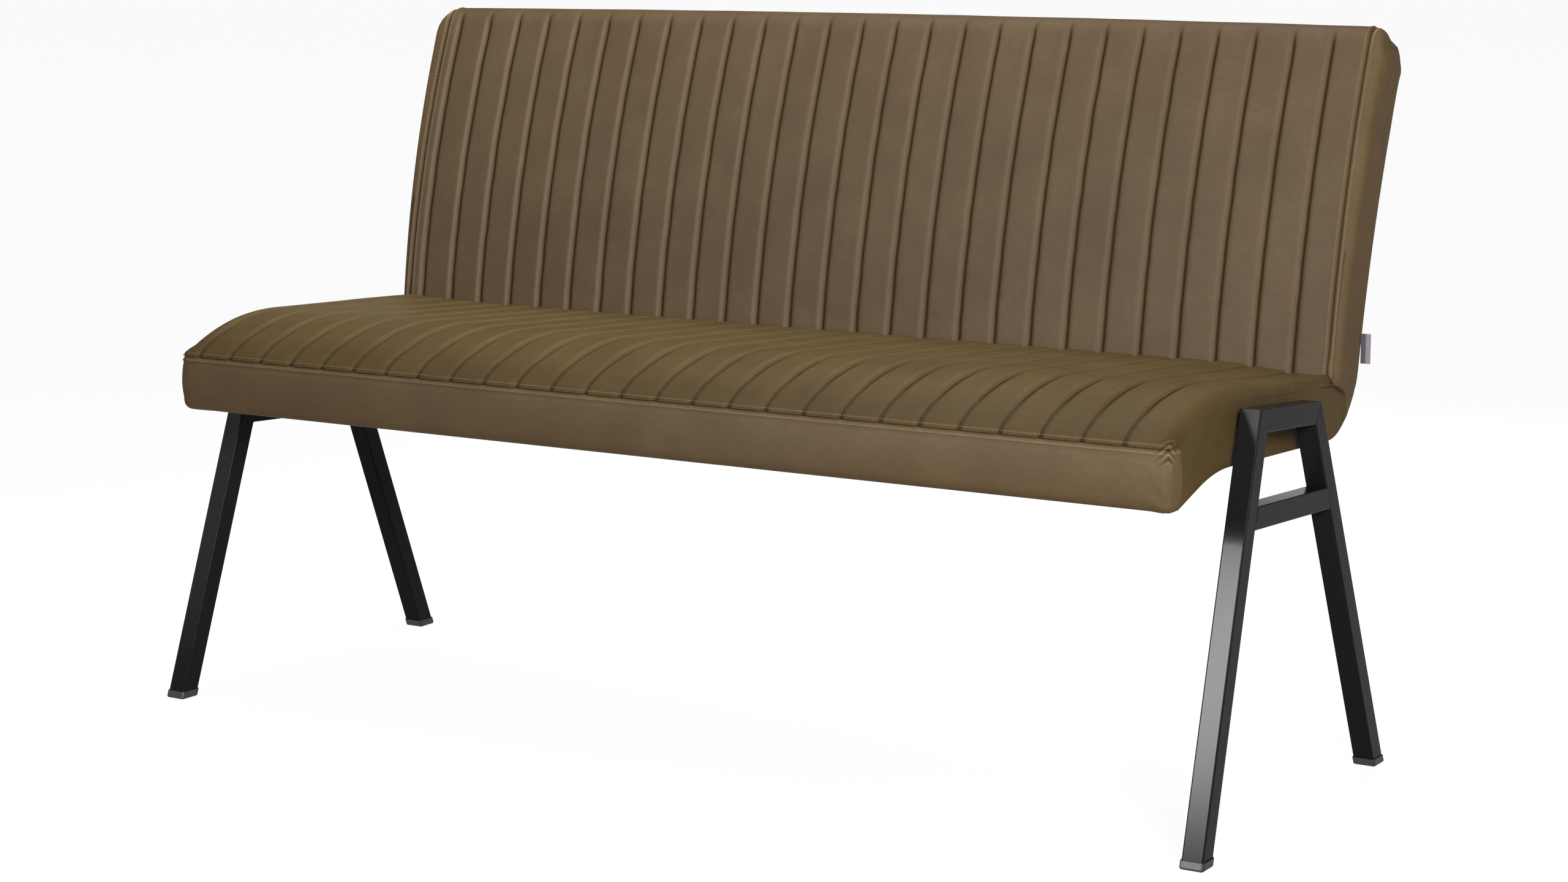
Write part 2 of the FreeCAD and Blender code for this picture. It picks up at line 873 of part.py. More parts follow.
# The origin goes to the middle of the floor area that the bench covers
box = Part.makeCompound(list(nodes.values())).optimalBoundingBox(False, False)
to_origin = V(-(box.XMin + box.XMax) / 2, -(box.YMin + box.YMax) / 2, -box.ZMin)
os.makedirs("parts", exist_ok=True)
for name, shape in nodes.items():
    shape.translate(to_origin)
    print(name, len(shape.Solids), shape.isValid(), round(shape.Volume / 1000, 1))
    shape.exportStep("parts/" + name + ".step")
print("size", round(box.XLength, 1), round(box.YLength, 1), round(box.ZLength, 1))
print("moved by", round(to_origin.x, 2), round(to_origin.y, 2), round(to_origin.z, 2))
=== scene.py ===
import bpy
import bmesh
import json
import math
from mathutils import Matrix, Vector, noise


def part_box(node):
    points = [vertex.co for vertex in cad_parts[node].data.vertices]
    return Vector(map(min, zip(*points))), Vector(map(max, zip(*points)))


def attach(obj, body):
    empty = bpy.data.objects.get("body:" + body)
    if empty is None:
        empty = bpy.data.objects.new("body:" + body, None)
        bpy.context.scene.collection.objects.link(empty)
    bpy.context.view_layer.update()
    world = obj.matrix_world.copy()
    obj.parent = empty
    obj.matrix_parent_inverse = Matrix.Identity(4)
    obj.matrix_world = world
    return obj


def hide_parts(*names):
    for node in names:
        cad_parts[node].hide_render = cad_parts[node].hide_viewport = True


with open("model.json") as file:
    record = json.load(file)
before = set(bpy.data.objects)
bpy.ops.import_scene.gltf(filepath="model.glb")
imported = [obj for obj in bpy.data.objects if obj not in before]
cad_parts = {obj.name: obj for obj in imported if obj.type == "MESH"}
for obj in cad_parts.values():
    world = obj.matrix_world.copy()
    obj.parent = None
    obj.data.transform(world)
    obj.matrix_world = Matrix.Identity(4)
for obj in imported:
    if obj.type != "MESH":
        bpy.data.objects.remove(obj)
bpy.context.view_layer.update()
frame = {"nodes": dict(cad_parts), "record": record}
scene = bpy.context.scene
print("frame loaded:", len(frame["nodes"]), "CAD nodes")

# Side outlines are (y, z) pairs in metres, with y measured from the front of the steel top bars.
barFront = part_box("top_bar_right")[0].y
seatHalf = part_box("seat_cushion")[1].x
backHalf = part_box("back_border_right")[1].x
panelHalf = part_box("back_cushion")[1].x

# The bench's side: the seat rolls over to the nose in one arc, the back leans further towards its top.
# Lengths are in metres and angles in degrees.
bench = {
    "creaseY": 0.304, "creaseZ": 0.503,  # where seat and back meet
    "seatPitch": 3.2, "crestY": 0.010, "rollRadius": 0.350, "rollEnd": 26.1, "railDepth": 0.018,
    "noseRadius": 0.016, "noseEnd": 75.0, "seamZ": 0.474,
    "noseBottom": 0.4012, "noseLip": 0.014, "noseSlope": 17.0,
    "backRadius": 1.575, "backLean": 7.5, "topAngle": 22.14, "thickness": 0.072,
    "topRun": 0.0350, "topRound": 0.028, "topCorner": 0.027, "topFall": 0.045, "topCrown": 0.0045,
    "underZ": 0.433, "underPitch": 2.35, "underRadius": 0.260,
    "heelRadius": 0.086, "heelSlope": 22.0, "heelRun": 0.045, "heelRound": 0.028,
    "firstStitch": -0.6857, "stitchPitch": 0.0518, "stitchCount": 27,
    "cornerRound": 0.011, "frameFront": -0.1463,
    "softGap": 0.0003,  # room between a soft piece and what carries it
}
stitches = [bench["firstStitch"] + bench["stitchPitch"] * i for i in range(bench["stitchCount"])]


def sinCos(degrees):
    return math.sin(math.radians(degrees)), math.cos(math.radians(degrees))


def meet(p, u, q, v):
    # where two lines cross, each given by a point and a direction
    turn = u[0] * v[1] - u[1] * v[0]
    step = ((q[0] - p[0]) * v[1] - (q[1] - p[1]) * v[0]) / turn
    return (p[0] + u[0] * step, p[1] + u[1] * step)


pitchWay = (1.0, -math.tan(math.radians(bench["seatPitch"])))
crestZ = bench["creaseZ"] - (bench["creaseY"] - bench["crestY"]) * pitchWay[1]
rollY = bench["crestY"] - bench["rollRadius"] * sinCos(bench["seatPitch"])[0]
rollZ = crestZ - bench["rollRadius"] * sinCos(bench["seatPitch"])[1]
arcY = bench["creaseY"] + bench["backRadius"] * sinCos(bench["backLean"])[1]
arcZ = bench["creaseZ"] - bench["backRadius"] * sinCos(bench["backLean"])[0]
leanWay = sinCos(bench["backLean"])
topWay = sinCos(bench["topAngle"])


def seatPoint(angle, depth):
    s, c = sinCos(angle)
    reach = bench["rollRadius"] - depth
    return (rollY - reach * s, rollZ + reach * c)


def seatKnee(depth, angle):
    # where the tangents at the two ends of the seat's roll cross
    tangent = sinCos(angle)
    start = (bench["crestY"], crestZ - depth / sinCos(bench["seatPitch"])[1])
    return meet(seatPoint(angle, depth), (tangent[1], tangent[0]), start, pitchWay)


def backPoint(angle, depth, run=0.0):
    s, c = sinCos(angle)
    reach = bench["backRadius"] - depth
    return (arcY - reach * c + run * s, arcZ + reach * s + run * c)


def backKnee(depth):
    return meet(backPoint(bench["backLean"], depth), leanWay, backPoint(bench["topAngle"], depth), topWay)


def backFoot(depth, z):
    # a point on the straight run below the crease
    start = backPoint(bench["backLean"], depth)
    return (start[0] + (z - start[1]) * leanWay[0] / leanWay[1], z)


def topSettle(x, point):
    # the back's top rises a little in the middle and falls to its rounded corners
    radius = bench["topCorner"]
    share = max(0.0, (abs(x) - backHalf + radius) / radius)
    drop = radius * (1 - math.sqrt(max(0.0, 1 - share * share)))
    drop -= bench["topCrown"] * (1 - (x / backHalf) ** 2)
    run = (point - Vector(backPoint(bench["topAngle"], 0))).dot(Vector(topWay))
    near = ease((run + bench["topFall"]) / (bench["topRun"] + bench["topFall"]))
    return point - Vector(topWay) * drop * near


underWay = (1.0, -math.tan(math.radians(bench["underPitch"])))
noseWay = (1.0, math.tan(math.radians(bench["noseSlope"])))
noseFront = seatPoint(bench["rollEnd"], 0)[0] - bench["noseRadius"] * (
    sinCos(bench["noseEnd"])[0] - sinCos(bench["rollEnd"])[0])
noseFoot = (noseFront + bench["noseLip"], bench["noseBottom"])


def underPoint(y, lift):
    return (y, bench["underZ"] + lift + y * underWay[1])


def nosePoint(y, lift):
    return (y, noseFoot[1] + lift + (y - noseFoot[0]) * noseWay[1])


def underKnee(lift):
    return meet(nosePoint(0, lift), noseWay, underPoint(0, lift), underWay)


def heelCorner(depth, lift):
    return meet(backPoint(bench["backLean"], depth), leanWay, underPoint(0, lift), underWay)


railLine = (bench["crestY"], crestZ - bench["railDepth"])


def railHeight(y):
    # the underside of the seat cushion
    reach = bench["rollRadius"] - bench["railDepth"]
    if y > rollY + reach * sinCos(bench["seatPitch"])[0]:
        return crestZ - bench["railDepth"] + (y - bench["crestY"]) * pitchWay[1]
    return rollZ + math.sqrt(reach ** 2 - (rollY - y) ** 2)


# Paths: evenly stepped runs and arcs
pathRule = {"arcSteps": 6, "apart": 1e-5, "weld": 1e-6}


def roundedPath(corners, step, closed=True):
    # points along straight runs and arcs; each corner is (y, z, radius)
    spans = []
    for i, (y, z, radius) in enumerate(corners):
        here = Vector((y, z))
        if radius == 0:
            spans.append([here])
            continue
        before = (Vector(corners[i - 1][:2]) - here).normalized()
        after = (Vector(corners[(i + 1) % len(corners)][:2]) - here).normalized()
        half = before.angle(after) / 2
        start = here + before * (radius / math.tan(half))
        end = here + after * (radius / math.tan(half))
        centre = here + (before + after).normalized() * (radius / math.sin(half))
        sweep = (start - centre).angle_signed(end - centre) * -1
        count = max(pathRule["arcSteps"], round(abs(sweep) * radius / step))
        turn = [Matrix.Rotation(sweep * k / count, 2) for k in range(count + 1)]
        spans.append([centre + t @ (start - centre) for t in turn])
    points = []
    for i, span in enumerate(spans):
        points += span
        if closed or i + 1 < len(spans):
            following = spans[(i + 1) % len(spans)][0]
            count = max(1, round((following - span[-1]).length / step))
            points += [span[-1].lerp(following, k / count) for k in range(1, count)]
    apart = pathRule["apart"]
    return [p for i, p in enumerate(points) if i == 0 or (p - points[i - 1]).length > apart]


def evenly(path, count):
    # the same open path, with a set number of evenly spaced points
    run = runsOf(path)
    points = []
    k = 0
    for i in range(count):
        target = run[-1] * i / (count - 1)
        while k < len(path) - 2 and run[k + 1] < target:
            k += 1
        points.append(path[k].lerp(path[k + 1], (target - run[k]) / (run[k + 1] - run[k])))
    return points


def finer(path, spot, grades):
    # the same path with more points near one spot; each grade is (reach, step)
    for reach, step in grades:
        points = [path[0]]
        for a, b in zip(path, path[1:]):
            near = min((a - spot).length, (b - spot).length) < reach
            count = max(1, round((b - a).length / step)) if near else 1
            points += [a.lerp(b, k / count) for k in range(1, count + 1)]
        path = points
    return path


def nearest(path, spot):
    # the index of the path's point that is nearest to a spot
    return min(range(len(path)), key=lambda j: (path[j] - Vector(spot)).length)


def runsOf(path):
    run = [0.0]
    for a, b in zip(path, path[1:]):
        run.append(run[-1] + (b - a).length)
    return run


def ease(share):
    share = max(0.0, min(1.0, share))
    return share * share * (3 - 2 * share)


def outwardOf(points):
    # the outward direction at each point of a closed outline
    count = len(points)
    area = sum(points[i - 1].cross(points[i]) for i in range(count))
    sign = 1 if area > 0 else -1
    tangents = [(points[(i + 1) % count] - points[i - 1]).normalized() for i in range(count)]
    return [Vector((t.y, -t.x)) * sign for t in tangents]


def newPiece(name, bm, material, nodes):
    bmesh.ops.recalc_face_normals(bm, faces=bm.faces)
    mesh = bpy.data.meshes.new(name)
    bm.to_mesh(mesh)
    bm.free()
    piece = bpy.data.objects.new(name, mesh)
    scene.collection.objects.link(piece)
    mesh.materials.append(material)
    mesh.shade_smooth()
    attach(piece, "root")
    if nodes:
        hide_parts(*nodes)
    return piece


def wrapGrid(columns, rows, place):
    # a grid bent round a closed section; place(column, row) gives each point and its painted light: above 0
    # for painted shade, below 0 for painted highlight
    bm = bmesh.new()
    bmesh.ops.create_grid(bm, x_segments=columns - 1, y_segments=rows, size=1.0)
    crease = bm.verts.layers.float.new("crease")
    for vert in bm.verts:
        i = round((vert.co.x + 1) / 2 * (columns - 1))
        j = round((vert.co.y + 1) / 2 * rows) % rows
        vert.co, vert[crease] = place(i, j)
    bmesh.ops.remove_doubles(bm, verts=bm.verts, dist=pathRule["weld"])
    rims = [edge for edge in bm.edges if edge.is_boundary]
    for edge in rims:
        edge.smooth = False
    bmesh.ops.holes_fill(bm, edges=rims, sides=0)
    return bm


# Materials: the sizes of their patterns are in millimetres
mm = 0.001


def srgb(code):
    channels = [int(code[i:i + 2], 16) / 255 for i in (1, 3, 5)]
    linear = [c / 12.92 if c <= 0.04045 else ((c + 0.055) / 1.055) ** 2.4 for c in channels]
    return (*linear, 1.0)


def addNode(material, kind, inputs=None, **settings):
    node = material.node_tree.nodes.new(kind)
    for name, value in settings.items():
        setattr(node, name, value)
    for socket, value in (inputs or {}).items():
        if isinstance(value, bpy.types.NodeSocket):
            material.node_tree.links.new(value, node.inputs[socket])
        else:
            node.inputs[socket].default_value = value
    return node


def newMaterial(name, **inputs):
    material = bpy.data.materials.new(name)
    material.use_nodes = True
    shader = material.node_tree.nodes["Principled BSDF"]
    for socket, value in inputs.items():
        shader.inputs[socket.replace("_", " ")].default_value = value
    return material, shader


def dress(material, shader, colour, relief):
    material.node_tree.links.new(colour, shader.inputs["Base Color"])
    material.node_tree.links.new(relief, shader.inputs["Normal"])


def tones(material, place, size, pale, deep, spread=0.3):
    # a cloudy mix of two tones; size is the size of its clouds
    cloud = addNode(material, "ShaderNodeTexNoise", {"Vector": place, "Scale": 1 / size, "Detail": 3.0})
    limits = {0: cloud.outputs[0], 1: 0.5 - spread, 2: 0.5 + spread}
    share = addNode(material, "ShaderNodeMapRange", limits).outputs[0]
    return addNode(material, "ShaderNodeMix", {0: share, 6: deep, 7: pale}, data_type="RGBA").outputs[2]


def leather(name, pale, deep, highlight):
    # matte waxed leather: cloudy tones and a fine pebble grain, with painted shade in the sewn creases and a
    # painted highlight beside them; the pebbles are drawn at 1.5 mm, coarser than the hide's own, so that
    # they show
    grain = {"cloud": 70, "fleck": 10, "pebble": 1.5, "depth": 0.4, "strength": 0.12, "crease": "#3c2910",
             "cloudSpread": 0.22, "fleckSpread": 0.5}
    material, shader = newMaterial(name, Roughness=0.6, IOR=1.45, Specular_IOR_Level=0.08)
    place = addNode(material, "ShaderNodeTexCoord").outputs["Object"]
    cloudy = tones(material, place, grain["cloud"] * mm, srgb(pale), srgb(deep), grain["cloudSpread"])
    base = tones(material, place, grain["fleck"] * mm, cloudy, srgb(deep), grain["fleckSpread"])
    crease = addNode(material, "ShaderNodeAttribute", attribute_name="crease").outputs["Fac"]
    # painted highlight where the crease value is below 0, painted shade in the crease colour where it is
    # above 0
    highlightShare = addNode(material, "ShaderNodeMapRange", {0: crease, 1: 0.0, 2: -1.0}).outputs[0]
    highlighted = addNode(material, "ShaderNodeMix", {0: highlightShare, 6: base, 7: srgb(highlight)}, data_type="RGBA").outputs[2]
    paintedShade = srgb(grain["crease"])
    sewn = addNode(material, "ShaderNodeMix", {0: crease, 6: highlighted, 7: paintedShade}, data_type="RGBA").outputs[2]
    pebble = addNode(material, "ShaderNodeTexVoronoi", {"Vector": place, "Scale": 1 / (grain["pebble"] * mm)},
                     feature="SMOOTH_F1").outputs["Distance"]
    bump = addNode(material, "ShaderNodeBump", {
        "Height": pebble, "Strength": grain["strength"], "Distance": grain["depth"] * mm})
    dress(material, shader, sewn, bump.outputs[0])
    return material


def grained(name, pale, deep, marks, strength, depth, **inputs):
    # two tones and a slight relief from one pattern, whose marks have the given lengths along x, y and z
    material, shader = newMaterial(name, **inputs)
    place = addNode(material, "ShaderNodeTexCoord").outputs["Object"]
    scale = [1 / (length * mm) for length in marks]
    scaled = addNode(material, "ShaderNodeMapping", {"Vector": place, "Scale": scale}).outputs[0]
    colour = tones(material, scaled, 1.0, srgb(pale), srgb(deep))
    height = addNode(material, "ShaderNodeTexNoise", {"Vector": scaled, "Scale": 1.0, "Detail": 2.0})
    bump = addNode(material, "ShaderNodeBump", {
        "Height": height.outputs[0], "Strength": strength, "Distance": depth * mm})
    dress(material, shader, colour, bump.outputs[0])
    return material


def tabFabric():
    # woven ribbon: fine ribs, with painted shade on its inner half, its outer, folded half paler
    ribbon = {"rib": 0.6, "depth": 0.2, "strength": 0.5, "fold": 6, "soft": 1, "inner": "#655e68",
              "outer": "#a9a1ad"}
    waveRun = 0.31  # metres between the bands of the wave pattern at a scale of 1
    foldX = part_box("seam_tab")[1].x - ribbon["fold"] * mm
    soft = ribbon["soft"] * mm
    material, shader = newMaterial("woven ribbon", Roughness=0.85)
    place = addNode(material, "ShaderNodeTexCoord").outputs["Object"]
    x = addNode(material, "ShaderNodeSeparateXYZ", {0: place}).outputs[0]
    outer = addNode(material, "ShaderNodeMapRange", {0: x, 1: foldX - soft, 2: foldX + soft}).outputs[0]
    halves = {0: outer, 6: srgb(ribbon["inner"]), 7: srgb(ribbon["outer"])}
    colour = addNode(material, "ShaderNodeMix", halves, data_type="RGBA").outputs[2]
    ribs = addNode(material, "ShaderNodeTexWave", {"Vector": place, "Scale": waveRun / (ribbon["rib"] * mm)},
                   bands_direction="Z").outputs["Fac"]
    bump = addNode(material, "ShaderNodeBump", {
        "Height": ribs, "Strength": ribbon["strength"], "Distance": ribbon["depth"] * mm})
    dress(material, shader, colour, bump.outputs[0])
    return material


# one hide in three tones, set apart partly by its own hue and partly by painted light and shade: for the
# back, the seat with its ends, and the nose with the side borders
backLeather = leather("brown olive leather", "#77654a", "#66543f", "#948065")
seatLeather = leather("olive leather", "#6c5a38", "#5a492c", "#8b774f")
noseLeather = leather("dark olive leather", "#7b6748", "#6a563d", "#998464")
# waxed thread: a little paler than the leather, with the twist as fine slubs
waxedThread = grained("waxed thread", "#84714f", "#6d5a3c", marks=(2, 0.6, 0.6), strength=0.4, depth=0.2,
                      Roughness=0.55)
# satin black powder coat: a soft sheen on a pimpled surface, drawn at 1.1 mm, coarser than real, to show
tubeCoat = grained("black powder coat", "#242324", "#1e1d1e", marks=(1.1, 1.1, 1.1), strength=0.06, depth=0.3,
                   Roughness=0.2, IOR=1.5, Specular_IOR_Level=0.03)
# moulded plastic feet: dull black with a spark texture, drawn at 0.9 mm, coarser than real, to show
capPlastic = grained("black plastic", "#201f21", "#161517", marks=(0.9, 0.9, 0.9), strength=0.3, depth=0.2,
                     Roughness=0.55)
# spun dust fabric: matte black with a fibrous mottle
dustCloth = grained("dust fabric", "#1e1e21", "#121214", marks=(4, 3, 3), strength=0.4, depth=0.3,
                    Roughness=0.9)
# board and blocks inside: long grain along the bench
plywood = grained("plywood", "#d0b488", "#b99a6c", marks=(300, 5, 5), strength=0.1, depth=0.2, Roughness=0.6)
pine = grained("pine", "#dcc093", "#c6a370", marks=(400, 8, 8), strength=0.1, depth=0.2, Roughness=0.6)
# elastic webbing: dark bands with a ribbed weave across
webbing = grained("elastic webbing", "#2d2d31", "#1d1d20", marks=(20, 1.2, 20), strength=0.5, depth=0.4,
                  Roughness=0.85)
# zinc plated steel: bright with a faint crystal mottle
zincSteel = grained("zinc steel", "#cdcfd2", "#b4b6ba", marks=(3, 3, 3), strength=0.05, depth=0.1,
                    Roughness=0.3, Metallic=1.0)
tabCloth = tabFabric()
nodeMaterials = {
    "black_powder_coat": tubeCoat, "black_plastic": capPlastic, "plywood": plywood, "pine": pine,
    "elastic_webbing": webbing, "zinc_steel": zincSteel, "dust_fabric": dustCloth, "tab_fabric": tabCloth,
    "olive_leather": backLeather,
}
for row in frame["record"]["subparts"]:
    node = frame["nodes"][row["node"]]
    node.data.materials.clear()
    node.data.materials.append(nodeMaterials[row["material_slot"]])
print("materials done")

# Channels: each stitch line draws the cover in to a sharp crease, and the padding stands up between them.
channel = {
    # the crease amounts below are painted shade, wider to the right of each stitch, and a painted highlight
    # to its left
    "depth": 0.0044, "width": 0.0070, "darkLeft": 0.0022, "darkRight": 0.0050, "darkest": 1.35,
    "highlightAt": 0.0056, "highlightWide": 0.0036, "wander": 0.0007, "wanderRun": 0.035, "wanderReach": 0.02,
    "wanderSeed": 2.7, "ripple": 0.00035, "rippleRun": 0.07, "rippleSeed": 5.0, "closest": 0.0004,
    "offsets": [0.0006, 0.0013, 0.0022, 0.0033, 0.0046, 0.0062, 0.008, 0.0115, 0.017, 0.0259],
}


def channelColumns(first, last):
    # places across the bench, close together beside each stitch line
    columns = set()
    for x in stitches:
        columns.add(round(x, 5))
        for offset in channel["offsets"]:
            columns.add(round(x - offset, 5))
            columns.add(round(x + offset, 5))
    kept = sorted(x for x in columns if first < x < last)
    return [x for i, x in enumerate(kept) if i == 0 or x - kept[i - 1] > channel["closest"]]


def drawIn(distance, depth, width):
    # how far the cover is drawn in at a distance from a stitch line
    return depth * (1 - min(1.0, abs(distance) / width))


def nearestStitch(x):
    i = round((x - bench["firstStitch"]) / bench["stitchPitch"])
    return max(0, min(bench["stitchCount"] - 1, i))


def stitchOffset(x):
    return x - stitches[nearestStitch(x)]


def wander(x, run):
    # a hand-guided seam is never quite straight
    i = nearestStitch(x)
    near = max(0.0, 1 - abs(x - stitches[i]) / channel["wanderReach"])
    spot = Vector((i * channel["wanderSeed"], run / channel["wanderRun"], 0.0))
    return near * channel["wander"] * noise.noise(spot)


def ripple(x, run):
    # shallow unevenness of the padding under the cover
    size = channel["rippleRun"]
    return channel["ripple"] * noise.noise(Vector((x / size, run / size, channel["rippleSeed"])))


def shadeAt(offset, highlight=0.0):
    # painted shade: 1 in a crease, reaching further on its right side, and below 0 in the painted highlight
    # on its left side
    pale = highlight * ease(1 - abs(offset + channel["highlightAt"]) / channel["highlightWide"])
    reach = channel["darkRight"] if offset > 0 else channel["darkLeft"]
    return channel["darkest"] * ease(1 - abs(offset) / reach) - pale


# Topstitching: a row of thread on each side of a seam, on a slight ridge.
topstitch = {
    # the valley's and the ridge's tone amounts are painted shade and painted highlight
    "away": 0.0046, "valley": 0.0022, "paintedShade": 0.9, "highlight": 0.45, "ridge": 0.0011, "ridgeWide": 0.0026,
    "folds": [0.0006, 0.0012, 0.0020, 0.0028, 0.0037, 0.0046, 0.0055, 0.0066, 0.0080],
    "length": 0.0036, "pitch": 0.0048, "thick": 0.0010,
}


def bead(distance):
    # how far the stitched ridge stands up at a distance from the seam
    return topstitch["ridge"] * ease(1 - abs(distance - topstitch["away"]) / topstitch["ridgeWide"])


def seamShade(distance):
    # painted shade in the sewn valley, painted highlight on the stitched ridge beside it
    valley = ease(1 - distance / topstitch["valley"])
    return topstitch["paintedShade"] * valley - topstitch["highlight"] * bead(distance) / topstitch["ridge"]


def threadRow(bm, spots):
    # one flattened bead of thread on each spot, a (place, along, outward) triple
    for place, along, out in spots:
        side = along.cross(out).normalized()
        turn = Matrix((along.normalized(), side, out.normalized())).transposed().to_4x4()
        size = Matrix.Diagonal((topstitch["length"], topstitch["thick"], topstitch["thick"], 1.0))
        lie = Matrix.Translation(place) @ turn @ size
        bmesh.ops.create_icosphere(bm, subdivisions=1, radius=0.5, matrix=lie)


def threadSpots(surface, values, step):
    # spots along a surface, where surface(value, aside) gives a point and aside moves away from the seam
    spots = []
    for value in values:
        here = surface(value, 0.0)
        along = surface(value + step, 0.0) - here
        out = along.cross(surface(value, step) - here)
        spots.append((here, along, out))
    return spots


def endToEnd(share, left, right):
    # a value that changes evenly from the left end, where the share is -1, to the right end, where it is 1
    return left + (right - left) * (share + 1) / 2


# Back cushion with its top border: one cover goes up the front and over the top.
backCushion = {
    "step": 0.006, "tuckZ": 0.478, "foam": 0.0317, "edge": 0.0022, "edgeWidth": 0.005,
    "fadeFrom": -0.012, "fadeTo": 0.022,  # the channels end along this run past the top's turn
    # the channels' painted highlight changes from the left end to the right, and painted shade darkens the
    # top's turn
    "settleRows": 20, "highlightLeft": 0.55, "highlightRight": 0.25, "topShade": 0.4,
}


def makeBackCushion():
    top = bench["topAngle"]
    depth = bench["thickness"]
    gap = bench["softGap"]
    foam = backCushion["foam"]
    corners = [
        (*backFoot(0, backCushion["tuckZ"]), 0),
        (*backKnee(0), bench["backRadius"]),
        (*backPoint(top, 0, bench["topRun"]), bench["topRound"]),
        (*backPoint(top, depth, bench["topRun"]), bench["topRound"]),
        (*backPoint(top, depth, gap), 0),
        (*backPoint(top, foam, gap), 0),
        (*backKnee(foam), bench["backRadius"] - foam),
        (*backFoot(foam, backCushion["tuckZ"]), 0),
    ]
    path = roundedPath(corners, backCushion["step"])
    outward = outwardOf(path)
    topMark = nearest(path, backPoint(top, 0, bench["topRun"] - bench["topRound"]))
    rearMark = nearest(path, backPoint(top, depth, gap))
    run = runsOf(path)
    columns = [-panelHalf] + [away - panelHalf for away in topstitch["folds"]]
    inside = panelHalf - topstitch["folds"][-1] - topstitch["away"] / 2
    columns = columns + channelColumns(-inside, inside) + [-x for x in reversed(columns)]

    def place(i, j):
        x = columns[i]
        inset = 0.0
        shade = 0.0
        if j <= rearMark:
            past = run[j] - run[topMark]
            fadeRun = backCushion["fadeTo"] - backCushion["fadeFrom"]
            fade = 1 - ease((past - backCushion["fadeFrom"]) / fadeRun)
            inset = fade * drawIn(stitchOffset(x), channel["depth"], channel["width"])
            away = panelHalf - abs(x)
            inset = max(inset, drawIn(away, backCushion["edge"], backCushion["edgeWidth"])) - bead(away)
            highlight = endToEnd(x / panelHalf, backCushion["highlightLeft"], backCushion["highlightRight"])
            # painted shade in the channels and the border seam, painted highlight beside them, and painted
            # shade over the top's turn
            shade = fade * shadeAt(stitchOffset(x), highlight) + seamShade(away)
            shade += backCushion["topShade"] * ease(past / bench["topRound"])
            inset += ripple(x, run[j])
        point = path[j] - outward[j] * inset
        if topMark - backCushion["settleRows"] < j < rearMark:
            point = topSettle(x, point)
        return Vector((x + wander(x, run[j]), barFront + point.x, point.y)), shade

    bm = wrapGrid(len(columns), len(path), place)
    piece = newPiece("backCushion", bm, backLeather, ["back_cushion", "back_top_border"])


makeBackCushion()
print("back cushion done")

# Seat cushion: channels from the crease to the nose seam, flatter over the roll, with soft rounded ends.
seatCushion = {
    "step": 0.005, "fineRows": [(0.03, 0.0016), (0.009, 0.0008)], "creaseRound": 0.007, "full": 0.0015,
    "endDeep": 0.0172, "endWide": 0.020,
    "endTurns": [6, 12, 18, 24, 30, 36, 42, 48, 54, 60, 66, 72, 77, 82, 86, 90],
    "tuck": 0.014, "seamDip": 0.0015, "lipProud": 0.0003, "lipRound": 0.0015, "railShort": 3,
    "blend": 60, "blendRows": 26,  # rounds of evening out the rows above the lip
    "lyingFrom": 0.90, "lyingSoft": 0.09,  # upward slope from which the cover lies flat
    # the pucker, roll, line and side tone amounts below set painted shade and painted highlight
    "noseRun": 0.03, "puckerRun": 0.020, "puckerDepth": 0.75, "puckerDark": 0.9, "pinch": 0.003,
    "settleRight": 0.009, "settleLeft": -0.004, "settleFrom": 0.56, "settleRun": 0.25,
    "rollDepth": 0.22, "rollShade": 0.30, "rollLine": 0.5, "lineLeft": 0.6, "lineWide": 1.4,
    "highlightLeft": 0.45, "highlightRight": 0.05, "seamHighlightLeft": 0.1, "seamHighlight": 0.5,
}
# Gathers: the cover is eased round the front corners in a few nested folds.
gathers = {
    # their two tone amounts are painted shade in the valleys and painted highlight on the ridges
    "pitch": 0.0090, "depth": 0.0034, "left": 0.1, "paintedShade": 0.75, "pale": 0.6, "reach": 0.011,
    "slope": 0.85, "low": 0.453, "high": 0.500, "soft": 0.008,
}
noseSeam = {}  # the surfaces above and below the nose seam, for its thread


def cornerRun(x):
    # the distance along the cover from the middle of a front corner
    radius = bench["cornerRound"]
    share = (abs(x) - seatHalf + radius) / radius
    if share <= 0:
        return radius * (share - math.pi / 4)
    return radius * (math.asin(min(1.0, share)) - math.pi / 4)


def gatherHold(away, z):
    # 1 where the folds are at their fullest, 0 away from the corner
    inside = ease((z - gathers["low"]) / gathers["soft"]) * ease((gathers["high"] - z) / gathers["soft"])
    return inside * math.exp(-(away / gathers["reach"]) ** 2)


def gather(away, z):
    phase = (z + gathers["slope"] * abs(away)) / gathers["pitch"]
    return gathers["depth"] * gatherHold(away, z) * (1 - math.cos(2 * math.pi * phase)) / 2


def gatherShade(away, z):
    # painted shade in the valleys of the folds, painted highlight on their ridges
    share = gather(away, z) / gathers["depth"]
    return (gathers["paintedShade"] + gathers["pale"]) * share - gathers["pale"] * gatherHold(away, z)


